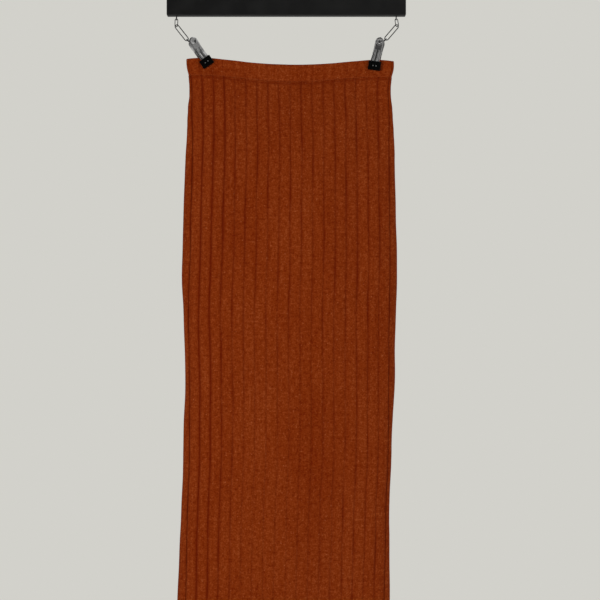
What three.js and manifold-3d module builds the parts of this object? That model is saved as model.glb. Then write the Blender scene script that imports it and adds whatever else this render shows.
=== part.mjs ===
// A wide-rib jersey maxi skirt that hangs from a flat bar hanger by two clips on short chains.
// Millimetres. The origin is the underside of the hook's top, where a rail carries it.
// +Z is up, +X is to the right seen from the front, and the front faces -Y.
import * as THREE from "three";
import { mergeVertices } from "three/addons/utils/BufferGeometryUtils.js";
import Module from "manifold-3d";

const wasm = await Module();
wasm.setup();

const GAP = 0.3; // clearance between pieces that meet

// The cloth. The waist edge is measured where the left clip grips it.
const WAIST_Z = -168;
const BAND_HEIGHT = 26;
const WALL = 1.5; // a panel in the grooves between its ribs
const RIB_RISE = 1.1;
const BAND_WALL = 2.6; // the band is folded double
const BAND_RIB_RISE = 0.5;
const FRONT_RIBS = 18;
const BACK_RIBS = 21;
const GROOVE_SHARE = 0.2; // part of a rib's width that each side of its groove takes
const SQUARENESS = 2.5; // 2 is an ellipse in plan, more is squarer at the sides
const LEAST_DEPTH = 0.5; // inside the cloth where the clips press it flat

// How the cloth hangs between the clips
const FRONT_SAG = 10.5;
const BACK_SAG = 7.5;
const SAG_SHAPE = 1.3;
const CORNER_SPAN = 0.25; // from a clip to the corner, as part of half the distance between the clips
const SIDE_DROP = 3; // the right clip grips the edge this much lower
const END_DROOP = 2.2; // at the corners of the band, outside the clips
const SAG_DEPTH = 150; // below this drop the rows are level
const PINCH_CORE = 13; // cloth on each side of a clip's middle that is pressed flat
const PINCH_REACH = 48;
const PINCH_DEPTH = 190;

// One row a height. drop: below the waist edge. left, right: x of the outline. front, back: from the middle
// plane to the cloth's inside. seamLeft, seamRight: from the outline in to the side seam, on the front.
const SECTIONS = [
  { drop: 0, left: -149.7, right: 161.1, front: 3.4, back: 3.2, seamLeft: 2.6, seamRight: 3.0 },
  { drop: 13, left: -148.9, right: 160.6, front: 3.6, back: 3.4, seamLeft: 2.6, seamRight: 3.0 },
  { drop: 26, left: -146.2, right: 157.4, front: 4.4, back: 4.0, seamLeft: 2.6, seamRight: 3.0 },
  { drop: 48, left: -144.5, right: 156.0, front: 7.0, back: 6.0, seamLeft: 3.0, seamRight: 3.4 },
  { drop: 78, left: -146.5, right: 158.2, front: 11.5, back: 9.5, seamLeft: 5.0, seamRight: 4.6 },
  { drop: 123, left: -149.0, right: 160.5, front: 16.5, back: 14.0, seamLeft: 9.0, seamRight: 6.8 },
  { drop: 168, left: -151.2, right: 162.0, front: 20.5, back: 17.0, seamLeft: 11.0, seamRight: 8.4 },
  { drop: 228, left: -153.4, right: 163.2, front: 24.0, back: 19.5, seamLeft: 11.7, seamRight: 9.6 },
  { drop: 288, left: -155.0, right: 165.0, front: 26.0, back: 21.0, seamLeft: 12.4, seamRight: 10.6 },
  { drop: 333, left: -155.6, right: 165.2, front: 26.5, back: 21.5, seamLeft: 11.4, seamRight: 11.0 },
  { drop: 378, left: -153.4, right: 163.6, front: 26.5, back: 22.0, seamLeft: 8.0, seamRight: 10.2 },
  { drop: 438, left: -151.6, right: 162.3, front: 26.5, back: 22.0, seamLeft: 7.0, seamRight: 9.4 },
  { drop: 498, left: -150.5, right: 161.2, front: 26.5, back: 22.0, seamLeft: 7.0, seamRight: 8.6 },
  { drop: 543, left: -152.6, right: 158.4, front: 26.5, back: 22.0, seamLeft: 8.6, seamRight: 6.0 },
  { drop: 603, left: -153.6, right: 156.2, front: 27.0, back: 22.5, seamLeft: 9.2, seamRight: 4.8 },
  { drop: 663, left: -156.0, right: 153.8, front: 27.5, back: 23.0, seamLeft: 9.4, seamRight: 5.4 },
  { drop: 723, left: -158.7, right: 153.6, front: 28.0, back: 23.5, seamLeft: 10.6, seamRight: 6.0 },
  { drop: 783, left: -161.2, right: 154.2, front: 28.5, back: 24.0, seamLeft: 12.6, seamRight: 8.4 },
  { drop: 860, left: -164.6, right: 155.2, front: 29.0, back: 24.5, seamLeft: 13.0, seamRight: 9.6 },
  { drop: 940, left: -166.4, right: 156.6, front: 29.5, back: 25.0, seamLeft: 13.0, seamRight: 10.0 },
];

// The soft folds that hang from the clips and the slow waves lower down. A negative rise is a trough.
const FRONT_FOLDS = [
  { x: -113, top: 20, bottom: 430, width: 17, rise: 3.4 },
  { x: -86, top: 90, bottom: 360, width: 15, rise: -2.4 },
  { x: 128, top: 20, bottom: 380, width: 15, rise: 2.8 },
  { x: 103, top: 80, bottom: 420, width: 15, rise: -2.8 },
  { x: 12, top: 40, bottom: 520, width: 46, rise: 2.2 },
  { x: -58, top: 400, bottom: 960, width: 30, rise: 3.0 },
  { x: 52, top: 460, bottom: 960, width: 34, rise: -3.2 },
];
const BACK_FOLDS = [
  { x: -118, top: 20, bottom: 390, width: 17, rise: 2.8 },
  { x: -88, top: 100, bottom: 420, width: 17, rise: -2.6 },
  { x: 126, top: 20, bottom: 440, width: 17, rise: 3.0 },
  { x: 96, top: 110, bottom: 380, width: 16, rise: -2.2 },
  { x: -30, top: 340, bottom: 960, width: 34, rise: 3.2 },
  { x: 60, top: 420, bottom: 960, width: 32, rise: -3.0 },
];
const FOLD_EASE = 90; // length over which a fold starts and ends
const LINE_STEPS = 480; // fine steps round the cloth, for its lengths and directions

// Where a rib has points across it, in parts of its width. The outer points between the first and the last
// are raised over the grooves. The inner face is plain.
const RIB_PLACES = [0, GROOVE_SHARE, 1 - GROOVE_SHARE, 1];
const INNER_PLACES = [0, 0.5, 1];

// The hanger's bar and hook
const BAR_LENGTH = 358;
const BAR_HEIGHT = 32;
const BAR_THICKNESS = 12;
const BAR_BOTTOM = -105;
const BAR_CORNER = 0.7;
const BAR_BEVEL = 0.8;
const BORE_SIDES = 12;
const HOOK_WIRE = 3.8;
const HOOK_INNER_RADIUS = 20;
const HOOK_SEAT = 16; // how deep the stem goes into the bar
const HOOK_START = THREE.MathUtils.degToRad(-42);
const HOOK_END = THREE.MathUtils.degToRad(204);
const HOOK_STEM_TOP = -58;
const HOOK_EASE = 11; // reach of the bend between the stem and the round part
const HOOK_SIDES = 8;
const HOOK_BEND_STEPS = 6;
const HOOK_ARC_STEPS = 20;
const HOOK_STEPS = 40;

// The chains
const EYE_X = 164.7;
const EYE_WIRE = 1.4;
const EYE_RADIUS = 2.5; // to the middle of its wire, as for the links below
const EYE_SEAT = 9;
const EYE_STEPS = 16;
const SHANK_SIDES = 8;
const SMALL_LINK = { wire: 1.2, width: 4.6, reach: 10, twist: 35 };
const LONG_LINK = { wire: 1.5, width: 6.8, reach: 26.3, twist: 38 };
const RING = { wire: 1.4, radius: 4.2, twist: 90 };
const WIRE_SIDES = 6;
const LINK_END_STEPS = 6;
const CHAIN_CROSSING = 1.2; // how far a link's end goes past the point where it crosses the next one

// The clips, each in a frame of its own: origin between the jaws, +Z towards the thumb ends.
// eye: x of its screw eye. lean: to the side. turn: of the levers about their length. jaw: lean of the pads
// against the levers. ringRise: how steeply its ring goes up and out.
const CLIPS = [
  { side: "left", x: -119.1, z: -175.2, eye: -EYE_X, lean: -34.5, turn: 10, jaw: 0, ringRise: 42 },
  { side: "right", x: 131.7, z: -180.8, eye: EYE_X, lean: 14, turn: -10, jaw: -6.5, ringRise: 40 },
];
const LEVER_THICKNESS = 1;
const LEVER_TOP = 43;
const LEVER_TOP_RADIUS = 6.3;
const LEVER_FOOT = -4.5;
const LEVER_FOOT_HALF = 6.8;
const LEVER_REACH = 20; // a lever lies within this distance of the middle plane
const OVERCUT = 1; // how far a lever's outline goes past its foot
const LEVER_PROFILE = [
  { z: LEVER_FOOT, off: 6.3 },
  { z: 7.4, off: 6.3 },
  { z: 20, off: 4.4 },
  { z: 35, off: 7.2 },
  { z: LEVER_TOP, off: 8 },
];
const PIVOT_Z = 20;
const EAR_CLEARANCE = 0.4; // between the back lever's ears and the front lever's ears outside them
const PIN_RADIUS = 1.1;
const PIN_HEAD_RADIUS = 1.9;
const PIN_HEAD = 0.6;
const EAR_RADIUS = 2.7;
const EAR_THICKNESS = 0.8;
const FRONT_EAR_X = 5.5; // inner face of the front lever's ears
const BACK_EAR_X = FRONT_EAR_X - EAR_THICKNESS - EAR_CLEARANCE;
const SPRING_RADIUS = 3.2;
const SPRING_BORE = 1.5;
const SPRING_HALF = BACK_EAR_X - GAP;
const CHAIN_HOLE_X = 1.5; // towards the side that the chain pulls to
const CHAIN_HOLE_Z = 39.5;
const CHAIN_HOLE_RADIUS = 1.6;
const PAD_WIDTH = 18.6;
const PAD_HEIGHT = 13.4;
const PAD_NEAR = 3.75; // from the middle plane to a pad's gripping face
const PAD_THICKNESS = 5.2;
const PAD_CORNER = 1.2;
const PAD_BEVEL = 0.5;
const PIN_SIDES = 10;
const SPRING_SIDES = 14;
const CORNER_STEPS = 3;
const ROUND_STEPS = 7;

const MERGE_DISTANCE = 1e-4;

const knit = new THREE.MeshStandardMaterial({ color: 0x752b0c, roughness: 0.95, metalness: 0 });
const blackPaint = new THREE.MeshStandardMaterial({ color: 0x1c1c1c, roughness: 0.5, metalness: 0 });
const chrome = new THREE.MeshStandardMaterial({ color: 0xc8c8c8, roughness: 0.15, metalness: 1 });
const rubber = new THREE.MeshStandardMaterial({ color: 0x0c0c0c, roughness: 0.75, metalness: 0 });

const part = new THREE.Group();

function addMesh(parent, name, geometry, material) {
  const mesh = new THREE.Mesh(geometry, material);
  mesh.name = name;
  parent.add(mesh);
  return mesh;
}

// Joining and cutting closed meshes

function solidFrom(geometry) {
  const bare = geometry.clone();
  bare.deleteAttribute("normal");
  bare.deleteAttribute("uv");
  const merged = mergeVertices(bare, MERGE_DISTANCE);
  const vertProperties = new Float32Array(merged.getAttribute("position").array);
  const triVerts = new Uint32Array(merged.index.array);
  return new wasm.Manifold(new wasm.Mesh({ numProp: 3, vertProperties, triVerts }));
}

function geometryFrom(solid) {
  const mesh = solid.getMesh();
  const geometry = new THREE.BufferGeometry();
  geometry.setAttribute("position", new THREE.BufferAttribute(new Float32Array(mesh.vertProperties), 3));
  geometry.setIndex(new THREE.BufferAttribute(new Uint32Array(mesh.triVerts), 1));
  return geometry;
}

// The cloth's shape in plan at one height, and the lie of its rows

function easeStep(value, from, to) {
  return THREE.MathUtils.smoothstep(value, from, to);
}

function clipDistance(x) {
  return Math.min(...CLIPS.map((clip) => Math.abs(x - clip.x)));
}

function pinch(x, drop) {
  const near = 1 - easeStep(clipDistance(x), PINCH_CORE, PINCH_REACH);
  const high = 1 - easeStep(drop, BAND_HEIGHT, PINCH_DEPTH);
  return near * high;
}

function foldRise(folds, x, drop) {
  let rise = 0;
  for (const fold of folds) {
    const across = Math.exp(-(((x - fold.x) / fold.width) ** 2));
    const start = easeStep(drop, fold.top, fold.top + FOLD_EASE);
    const end = 1 - easeStep(drop, fold.bottom - FOLD_EASE, fold.bottom);
    rise += fold.rise * across * start * end;
  }
  return rise;
}

// How far a point of the cloth hangs below the level of the left clip's grip.
function hang(x, drop, isFront) {
  const middle = (CLIPS[0].x + CLIPS[1].x) / 2;
  const across = (x - middle) / (CLIPS[1].x - middle);
  const outside = Math.max(0, Math.abs(across) - 1) / CORNER_SPAN;
  const inside = Math.cos((Math.min(1, Math.abs(across)) * Math.PI) / 2) ** SAG_SHAPE;
  const sag = isFront ? FRONT_SAG : BACK_SAG;
  const slope = (SIDE_DROP * (across + 1)) / 2;
  return (sag * inside + END_DROOP * outside ** 2 + slope) * (1 - easeStep(drop, 0, SAG_DEPTH));
}

// The closed line of the cloth's inside: from the left fold over the front to the right fold and back.
function insideLine(section, wall) {
  const middle = (section.left + section.right) / 2;
  const half = (section.right - section.left) / 2 - wall;
  const line = [];
  for (let i = 0; i < LINE_STEPS; i++) {
    const turn = (i / LINE_STEPS) * 2 * Math.PI;
    const cos = Math.cos(turn);
    const sin = Math.sin(turn);
    const isFront = sin >= 0;
    const x = middle - Math.sign(cos) * Math.abs(cos) ** (2 / SQUARENESS) * half;
    const reach = Math.abs(sin) ** (2 / SQUARENESS);
    const folds = isFront ? FRONT_FOLDS : BACK_FOLDS;
    const open = (isFront ? section.front : section.back) * (1 - pinch(x, section.drop));
    const depth = Math.max(LEAST_DEPTH, open) + foldRise(folds, x, section.drop);
    line.push({ x, y: (isFront ? -1 : 1) * reach * depth, isFront });
  }
  return line;
}

// The same line with its outward directions and the length along the wall's outer face up to each point.
function measuredLine(section, wall) {
  const line = insideLine(section, wall);
  let length = 0;
  line.forEach((point, i) => {
    const before = line[(i + LINE_STEPS - 1) % LINE_STEPS];
    const after = line[(i + 1) % LINE_STEPS];
    const span = Math.hypot(after.x - before.x, after.y - before.y);
    point.nx = (after.y - before.y) / span;
    point.ny = -(after.x - before.x) / span;
    point.outX = point.x + point.nx * wall;
    point.outY = point.y + point.ny * wall;
    if (i > 0) {
      length += Math.hypot(point.outX - line[i - 1].outX, point.outY - line[i - 1].outY);
    }
    point.length = length;
  });
  const first = line[0];
  const last = line[LINE_STEPS - 1];
  const total = length + Math.hypot(first.outX - last.outX, first.outY - last.outY);
  return { line, total };
}

function pointAlong(measured, length) {
  const { line, total } = measured;
  const wanted = ((length % total) + total) % total;
  let i = line.findIndex((point) => point.length > wanted) - 1;
  if (i < 0) {
    i = LINE_STEPS - 1;
  }
  const here = line[i];
  const next = line[(i + 1) % LINE_STEPS];
  const nextLength = next.length > here.length ? next.length : total;
  const share = (wanted - here.length) / (nextLength - here.length);
  const mix = (key) => here[key] + (next[key] - here[key]) * share;
  return { x: mix("x"), y: mix("y"), nx: mix("nx"), ny: mix("ny"), isFront: here.isFront };
}

// Length along the line where the front's outer face reaches the given x.
function lengthAtFront(measured, x) {
  const found = measured.line.find((point) => point.isFront && point.outX >= x);
  return found.length;
}

// One row of a panel: outer points with ribs, and plain inner points.
function panelRow(section, panel) {
  const measured = measuredLine(section, panel.wall);
  const leftSeam = lengthAtFront(measured, section.left + section.seamLeft);
  const rightSeam = lengthAtFront(measured, section.right - section.seamRight);
  const start = (panel.isFront ? leftSeam : rightSeam) + GAP / 2;
  const end = (panel.isFront ? rightSeam : leftSeam + measured.total) - GAP / 2;
  const level = WAIST_Z - section.drop - (panel.lower && section === panel.sections[0] ? GAP : 0);
  const place = (share, rise) => {
    const at = pointAlong(measured, start + (end - start) * share);
    const z = level - hang(at.x, section.drop, panel.isFront);
    return [at.x + at.nx * rise, at.y + at.ny * rise, z];
  };
  const outer = [place(0, panel.wall)];
  const inner = [place(0, 0)];
  for (let rib = 0; rib < panel.ribs; rib++) {
    for (const at of RIB_PLACES.slice(1)) {
      outer.push(place((rib + at) / panel.ribs, panel.wall + (at < 1 ? panel.rise : 0)));
    }
    for (const at of INNER_PLACES.slice(1)) {
      inner.push(place((rib + at) / panel.ribs, 0));
    }
  }
  return { outer, inner };
}

// A closed wall from its rows, given from the top down.
function panelGeometry(panel) {
  const rows = panel.sections.map((section) => panelRow(section, panel));
  const positions = [];
  const indices = [];
  const outerCount = rows[0].outer.length;
  const innerCount = rows[0].inner.length;
  const rowCount = outerCount + innerCount;
  rows.forEach((row) => positions.push(...row.outer.flat(), ...row.inner.flat()));
  const outerAt = (row, column) => row * rowCount + column;
  const innerAt = (row, column) => row * rowCount + outerCount + column;
  const quad = (a, b, c, d) => indices.push(a, b, c, a, c, d);
  for (let row = 0; row + 1 < rows.length; row++) {
    for (let i = 0; i + 1 < outerCount; i++) {
      quad(outerAt(row, i), outerAt(row + 1, i), outerAt(row + 1, i + 1), outerAt(row, i + 1));
    }
    for (let i = 0; i + 1 < innerCount; i++) {
      quad(innerAt(row, i), innerAt(row, i + 1), innerAt(row + 1, i + 1), innerAt(row + 1, i));
    }
    const o = outerCount - 1;
    const n = innerCount - 1;
    quad(outerAt(row, 0), innerAt(row, 0), innerAt(row + 1, 0), outerAt(row + 1, 0));
    quad(outerAt(row, o), outerAt(row + 1, o), innerAt(row + 1, n), innerAt(row, n));
  }
  const edge = (row, turn) => {
    const face = (a, b, c) => (turn ? indices.push(a, c, b) : indices.push(a, b, c));
    for (let rib = 0; rib < panel.ribs; rib++) {
      const o = 3 * rib;
      const n = 2 * rib;
      face(innerAt(row, n), outerAt(row, o), outerAt(row, o + 1));
      face(innerAt(row, n), outerAt(row, o + 1), innerAt(row, n + 1));
      face(innerAt(row, n + 1), outerAt(row, o + 1), outerAt(row, o + 2));
      face(innerAt(row, n + 1), outerAt(row, o + 2), innerAt(row, n + 2));
      face(innerAt(row, n + 2), outerAt(row, o + 2), outerAt(row, o + 3));
    }
  };
  edge(0, false);
  edge(rows.length - 1, true);
  const geometry = new THREE.BufferGeometry();
  geometry.setAttribute("position", new THREE.Float32BufferAttribute(positions, 3));
  geometry.setIndex(indices);
  return geometry;
}

function addSkirt() {
  const bandSections = SECTIONS.filter((section) => section.drop <= BAND_HEIGHT);
  const bodySections = SECTIONS.filter((section) => section.drop >= BAND_HEIGHT);
  const band = { sections: bandSections, wall: BAND_WALL, rise: BAND_RIB_RISE, lower: false };
  const body = { sections: bodySections, wall: WALL, rise: RIB_RISE, lower: true };
  const front = { isFront: true, ribs: FRONT_RIBS };
  const back = { isFront: false, ribs: BACK_RIBS };
  addMesh(part, "waistband_front", panelGeometry({ ...band, ...front }), knit);
  addMesh(part, "waistband_back", panelGeometry({ ...band, ...back }), knit);
  addMesh(part, "skirt_front", panelGeometry({ ...body, ...front }), knit);
  addMesh(part, "skirt_back", panelGeometry({ ...body, ...back }), knit);
}

// Shapes and wires

function circlePoints(radius, sides) {
  const points = [];
  for (let i = 0; i < sides; i++) {
    const turn = (i / sides) * 2 * Math.PI;
    points.push(new THREE.Vector2(radius * Math.cos(turn), radius * Math.sin(turn)));
  }
  return points;
}

function roundedRectangle(width, height, radius) {
  const x = width / 2 - radius;
  const y = height / 2 - radius;
  const shape = new THREE.Shape();
  shape.absarc(x, y, radius, 0, Math.PI / 2, false);
  shape.absarc(-x, y, radius, Math.PI / 2, Math.PI, false);
  shape.absarc(-x, -y, radius, Math.PI, 1.5 * Math.PI, false);
  shape.absarc(x, -y, radius, 1.5 * Math.PI, 2 * Math.PI, false);
  return shape;
}

// A rounded block: its outline lies in XZ, its thickness runs along Y, and it is centred on the origin.
function roundedBlock(width, height, thickness, corner, bevel) {
  const shape = roundedRectangle(width - 2 * bevel, height - 2 * bevel, corner);
  const geometry = new THREE.ExtrudeGeometry(shape, {
    depth: thickness - 2 * bevel,
    curveSegments: CORNER_STEPS,
    bevelEnabled: true,
    bevelThickness: bevel,
    bevelSize: bevel,
    bevelSegments: 1,
  });
  geometry.translate(0, 0, bevel - thickness / 2);
  geometry.rotateX(Math.PI / 2);
  return geometry;
}

function rod(radius, length, sides) {
  return new THREE.CylinderGeometry(radius, radius, length, sides);
}

// A ring of wire that closes on itself: its centre line is given in XZ, in order.
function closedWire(centreLine, wire) {
  const count = centreLine.length;
  const positions = [];
  const indices = [];
  centreLine.forEach((point, i) => {
    const before = centreLine[(i + count - 1) % count];
    const after = centreLine[(i + 1) % count];
    const along = after.clone().sub(before).normalize();
    const here = i * WIRE_SIDES;
    const far = ((i + 1) % count) * WIRE_SIDES;
    for (let side = 0; side < WIRE_SIDES; side++) {
      const turn = (side / WIRE_SIDES) * 2 * Math.PI;
      const out = (wire / 2) * Math.cos(turn);
      positions.push(point.x + along.y * out, (wire / 2) * Math.sin(turn), point.y - along.x * out);
      const next = (side + 1) % WIRE_SIDES;
      indices.push(here + side, here + next, far + next);
      indices.push(here + side, far + next, far + side);
    }
  });
  const geometry = new THREE.BufferGeometry();
  geometry.setAttribute("position", new THREE.Float32BufferAttribute(positions, 3));
  geometry.setIndex(indices);
  return geometry;
}

// A link with round ends: length and width are to the middle of its wire.
function linkGeometry(length, width, wire) {
  const radius = width / 2;
  const straight = length / 2 - radius;
  const centreLine = [];
  for (const end of [1, -1]) {
    for (let i = 0; i <= LINK_END_STEPS; i++) {
      const turn = (i / LINK_END_STEPS) * Math.PI;
      const x = end * radius * Math.cos(turn);
      const z = end * (straight + radius * Math.sin(turn));
      centreLine.push(new THREE.Vector2(x, z));
    }
  }
  return closedWire(centreLine, wire);
}

function addHanger() {
  const barMiddle = BAR_BOTTOM + BAR_HEIGHT / 2;
  const barTop = BAR_BOTTOM + BAR_HEIGHT;
  const block = roundedBlock(BAR_LENGTH, BAR_HEIGHT, BAR_THICKNESS, BAR_CORNER, BAR_BEVEL);
  let bar = solidFrom(block.translate(0, 0, barMiddle));
  const bore = (x, z, wire, depth) => {
    const hole = rod(wire / 2 + GAP, 2 * (depth + GAP), BORE_SIDES).rotateX(Math.PI / 2);
    bar = bar.subtract(solidFrom(hole.translate(x, 0, z)));
  };
  bore(0, barTop, HOOK_WIRE, HOOK_SEAT);
  for (const clip of CLIPS) {
    bore(clip.eye, BAR_BOTTOM, EYE_WIRE, EYE_SEAT);
  }
  addMesh(part, "hanger_bar", geometryFrom(bar), blackPaint);

  const radius = HOOK_INNER_RADIUS + HOOK_WIRE / 2;
  const onArc = (turn) =>
    new THREE.Vector3(radius * Math.cos(turn), 0, -HOOK_INNER_RADIUS + radius * Math.sin(turn));
  const stemFoot = new THREE.Vector3(0, 0, barTop - HOOK_SEAT);
  const stemTop = new THREE.Vector3(0, 0, HOOK_STEM_TOP);
  const arcStart = onArc(HOOK_START);
  const stemWay = new THREE.Vector3(0, 0, 1);
  const arcWay = new THREE.Vector3(-Math.sin(HOOK_START), 0, Math.cos(HOOK_START));
  const stemPull = stemTop.clone().addScaledVector(stemWay, HOOK_EASE);
  const arcPull = arcStart.clone().addScaledVector(arcWay, -HOOK_EASE);
  const bend = new THREE.CubicBezierCurve3(stemTop, stemPull, arcPull, arcStart);
  const stemMiddle = stemFoot.clone().lerp(stemTop, 0.5);
  const centreLine = [stemFoot, stemMiddle, ...bend.getPoints(HOOK_BEND_STEPS)];
  for (let i = 1; i <= HOOK_ARC_STEPS; i++) {
    centreLine.push(onArc(THREE.MathUtils.lerp(HOOK_START, HOOK_END, i / HOOK_ARC_STEPS)));
  }
  const hook = new THREE.ExtrudeGeometry(new THREE.Shape(circlePoints(HOOK_WIRE / 2, HOOK_SIDES)), {
    steps: HOOK_STEPS,
    bevelEnabled: false,
    extrudePath: new THREE.CatmullRomCurve3(centreLine, false, "centripetal"),
  });
  addMesh(part, "hanger_hook", hook, chrome);
}

// The screw eye under the bar: a ring seen edge-on from the front, with its shank up in the bar.
function eyeGeometry() {
  const ring = new THREE.TorusGeometry(EYE_RADIUS, EYE_WIRE / 2, WIRE_SIDES, EYE_STEPS);
  ring.rotateY(Math.PI / 2);
  const shankFoot = EYE_RADIUS;
  const shankTop = EYE_RADIUS + EYE_WIRE / 2 + EYE_SEAT;
  const shank = rod(EYE_WIRE / 2, shankTop - shankFoot, SHANK_SIDES).rotateX(Math.PI / 2);
  shank.translate(0, 0, (shankTop + shankFoot) / 2);
  return geometryFrom(solidFrom(ring).add(solidFrom(shank)));
}

// Turns a mesh so that its +Z runs along a direction, with its flat side twisted away from the front.
function turnAlong(mesh, direction, twistDegrees) {
  const up = direction.clone().normalize();
  const back = new THREE.Vector3(0, 1, 0);
  const across = back.clone().cross(up).normalize();
  const square = up.clone().cross(across);
  mesh.quaternion.setFromRotationMatrix(new THREE.Matrix4().makeBasis(across, square, up));
  mesh.rotateZ(THREE.MathUtils.degToRad(twistDegrees));
}

// The chain's knee: where a reach from the eye and a reach from the ring meet, on the outer side.
function kneePoint(eye, ringEnd, outwards) {
  const from = new THREE.Vector2(eye.x, eye.z);
  const to = new THREE.Vector2(ringEnd.x, ringEnd.z);
  const span = from.distanceTo(to);
  const along = to.clone().sub(from).divideScalar(span);
  const near = (SMALL_LINK.reach ** 2 - LONG_LINK.reach ** 2 + span ** 2) / (2 * span);
  const aside = Math.sqrt(SMALL_LINK.reach ** 2 - near ** 2);
  const across = new THREE.Vector2(-along.y, along.x).multiplyScalar(outwards * aside);
  const knee = from.clone().addScaledVector(along, near).add(across);
  const y = THREE.MathUtils.lerp(eye.y, ringEnd.y, SMALL_LINK.reach / (SMALL_LINK.reach + LONG_LINK.reach));
  return new THREE.Vector3(knee.x, y, knee.y);
}

function addLink(name, from, to, link, outwards) {
  const direction = to.clone().sub(from);
  const geometry = linkGeometry(direction.length(), link.width, link.wire);
  const mesh = addMesh(part, name, geometry, chrome);
  mesh.position.copy(from.clone().lerp(to, 0.5));
  turnAlong(mesh, direction, link.twist * outwards);
}

function addChain(clip, hole) {
  const eye = addMesh(part, `screw_eye_${clip.side}`, eyeGeometry(), chrome);
  eye.position.set(clip.eye, 0, BAR_BOTTOM - GAP - EYE_RADIUS - EYE_WIRE / 2);
  const eyeBottom = eye.position.clone().sub(new THREE.Vector3(0, 0, EYE_RADIUS));
  const hookUp = (EYE_WIRE + SMALL_LINK.wire) / 2 + GAP;
  const start = eyeBottom.clone().add(new THREE.Vector3(0, 0, hookUp));
  const outwards = Math.sign(clip.eye);

  const rise = THREE.MathUtils.degToRad(clip.ringRise);
  const ringWay = new THREE.Vector3(outwards * Math.cos(rise), 0, Math.sin(rise));
  const ringGeometry = linkGeometry(2 * RING.radius, 2 * RING.radius, RING.wire);
  const ring = addMesh(part, `ring_${clip.side}`, ringGeometry, chrome);
  ring.position.copy(hole).addScaledVector(ringWay, RING.radius);
  turnAlong(ring, ringWay, RING.twist);

  const inRing = 2 * RING.radius - (RING.wire + LONG_LINK.wire) / 2 - GAP;
  const linkFoot = hole.clone().addScaledVector(ringWay, inRing);
  const knee = kneePoint(start, linkFoot, outwards);
  const down = knee.clone().sub(start).normalize();
  const smallEnd = knee.clone().addScaledVector(down, CHAIN_CROSSING);
  addLink(`small_link_${clip.side}`, start, smallEnd, SMALL_LINK, outwards);

  const pull = knee.clone().sub(linkFoot).normalize();
  const linkTop = knee.clone().addScaledVector(pull, CHAIN_CROSSING);
  addLink(`long_link_${clip.side}`, linkFoot, linkTop, LONG_LINK, outwards);
}

// How far a lever's middle lies from the clip's middle plane at a height in its profile.
function leverOff(z) {
  const above = LEVER_PROFILE.findIndex((row) => row.z >= z);
  const from = LEVER_PROFILE[above - 1];
  const to = LEVER_PROFILE[above];
  return THREE.MathUtils.mapLinear(z, from.z, to.z, from.off, to.off);
}

// A clip's lever: a bent plate with a round thumb end, a foot in the jaw pad and two ears for the
// pivot pin. toBack is -1 for the front lever and 1 for the back one, which has a hole for its chain.
function leverGeometry(toBack, earX, holeX) {
  const side = (shift) => LEVER_PROFILE.map((row) => new THREE.Vector2(toBack * row.off + shift, row.z));
  const sideView = [...side(LEVER_THICKNESS / 2), ...side(-LEVER_THICKNESS / 2).reverse()];
  const bent = alongX(new THREE.Shape(sideView), -2 * LEVER_TOP_RADIUS, 2 * LEVER_TOP_RADIUS);

  const outline = new THREE.Shape();
  outline.moveTo(-LEVER_FOOT_HALF, LEVER_FOOT - OVERCUT);
  outline.lineTo(LEVER_FOOT_HALF, LEVER_FOOT - OVERCUT);
  outline.lineTo(LEVER_TOP_RADIUS, PIVOT_Z);
  outline.absarc(0, LEVER_TOP - LEVER_TOP_RADIUS, LEVER_TOP_RADIUS, 0, Math.PI, false);
  outline.lineTo(-LEVER_TOP_RADIUS, PIVOT_Z);
  const facing = new THREE.ExtrudeGeometry(outline, {
    depth: 2 * LEVER_REACH,
    bevelEnabled: false,
    curveSegments: ROUND_STEPS,
  });
  facing.translate(0, 0, -LEVER_REACH).rotateX(Math.PI / 2);

  let lever = solidFrom(bent).intersect(solidFrom(facing));
  const ear = new THREE.Shape();
  ear.moveTo(toBack * leverOff(PIVOT_Z), PIVOT_Z - EAR_RADIUS);
  ear.lineTo(0, PIVOT_Z - EAR_RADIUS);
  ear.absarc(0, PIVOT_Z, EAR_RADIUS, -Math.PI / 2, Math.PI / 2, toBack > 0);
  ear.lineTo(toBack * leverOff(PIVOT_Z), PIVOT_Z + EAR_RADIUS);
  for (const from of [earX, -earX - EAR_THICKNESS]) {
    lever = lever.add(solidFrom(alongX(ear, from, from + EAR_THICKNESS)));
  }
  const pinHole = rod(PIN_RADIUS + GAP, 2 * LEVER_REACH, PIN_SIDES).rotateZ(Math.PI / 2);
  lever = lever.subtract(solidFrom(pinHole.translate(0, 0, PIVOT_Z)));
  if (toBack > 0) {
    const chainHole = rod(CHAIN_HOLE_RADIUS, 2 * LEVER_REACH, PIN_SIDES);
    lever = lever.subtract(solidFrom(chainHole.translate(holeX, 0, CHAIN_HOLE_Z)));
  }
  return geometryFrom(lever);
}

// A shape given in Y and Z, extruded along X.
function alongX(shape, from, to) {
  const geometry = new THREE.ExtrudeGeometry(shape, {
    depth: to - from,
    bevelEnabled: false,
    curveSegments: ROUND_STEPS,
  });
  const across = new THREE.Vector3(1, 0, 0);
  const back = new THREE.Vector3(0, 1, 0);
  const up = new THREE.Vector3(0, 0, 1);
  geometry.applyMatrix4(new THREE.Matrix4().makeBasis(back, up, across));
  return geometry.translate(from, 0, 0);
}

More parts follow.
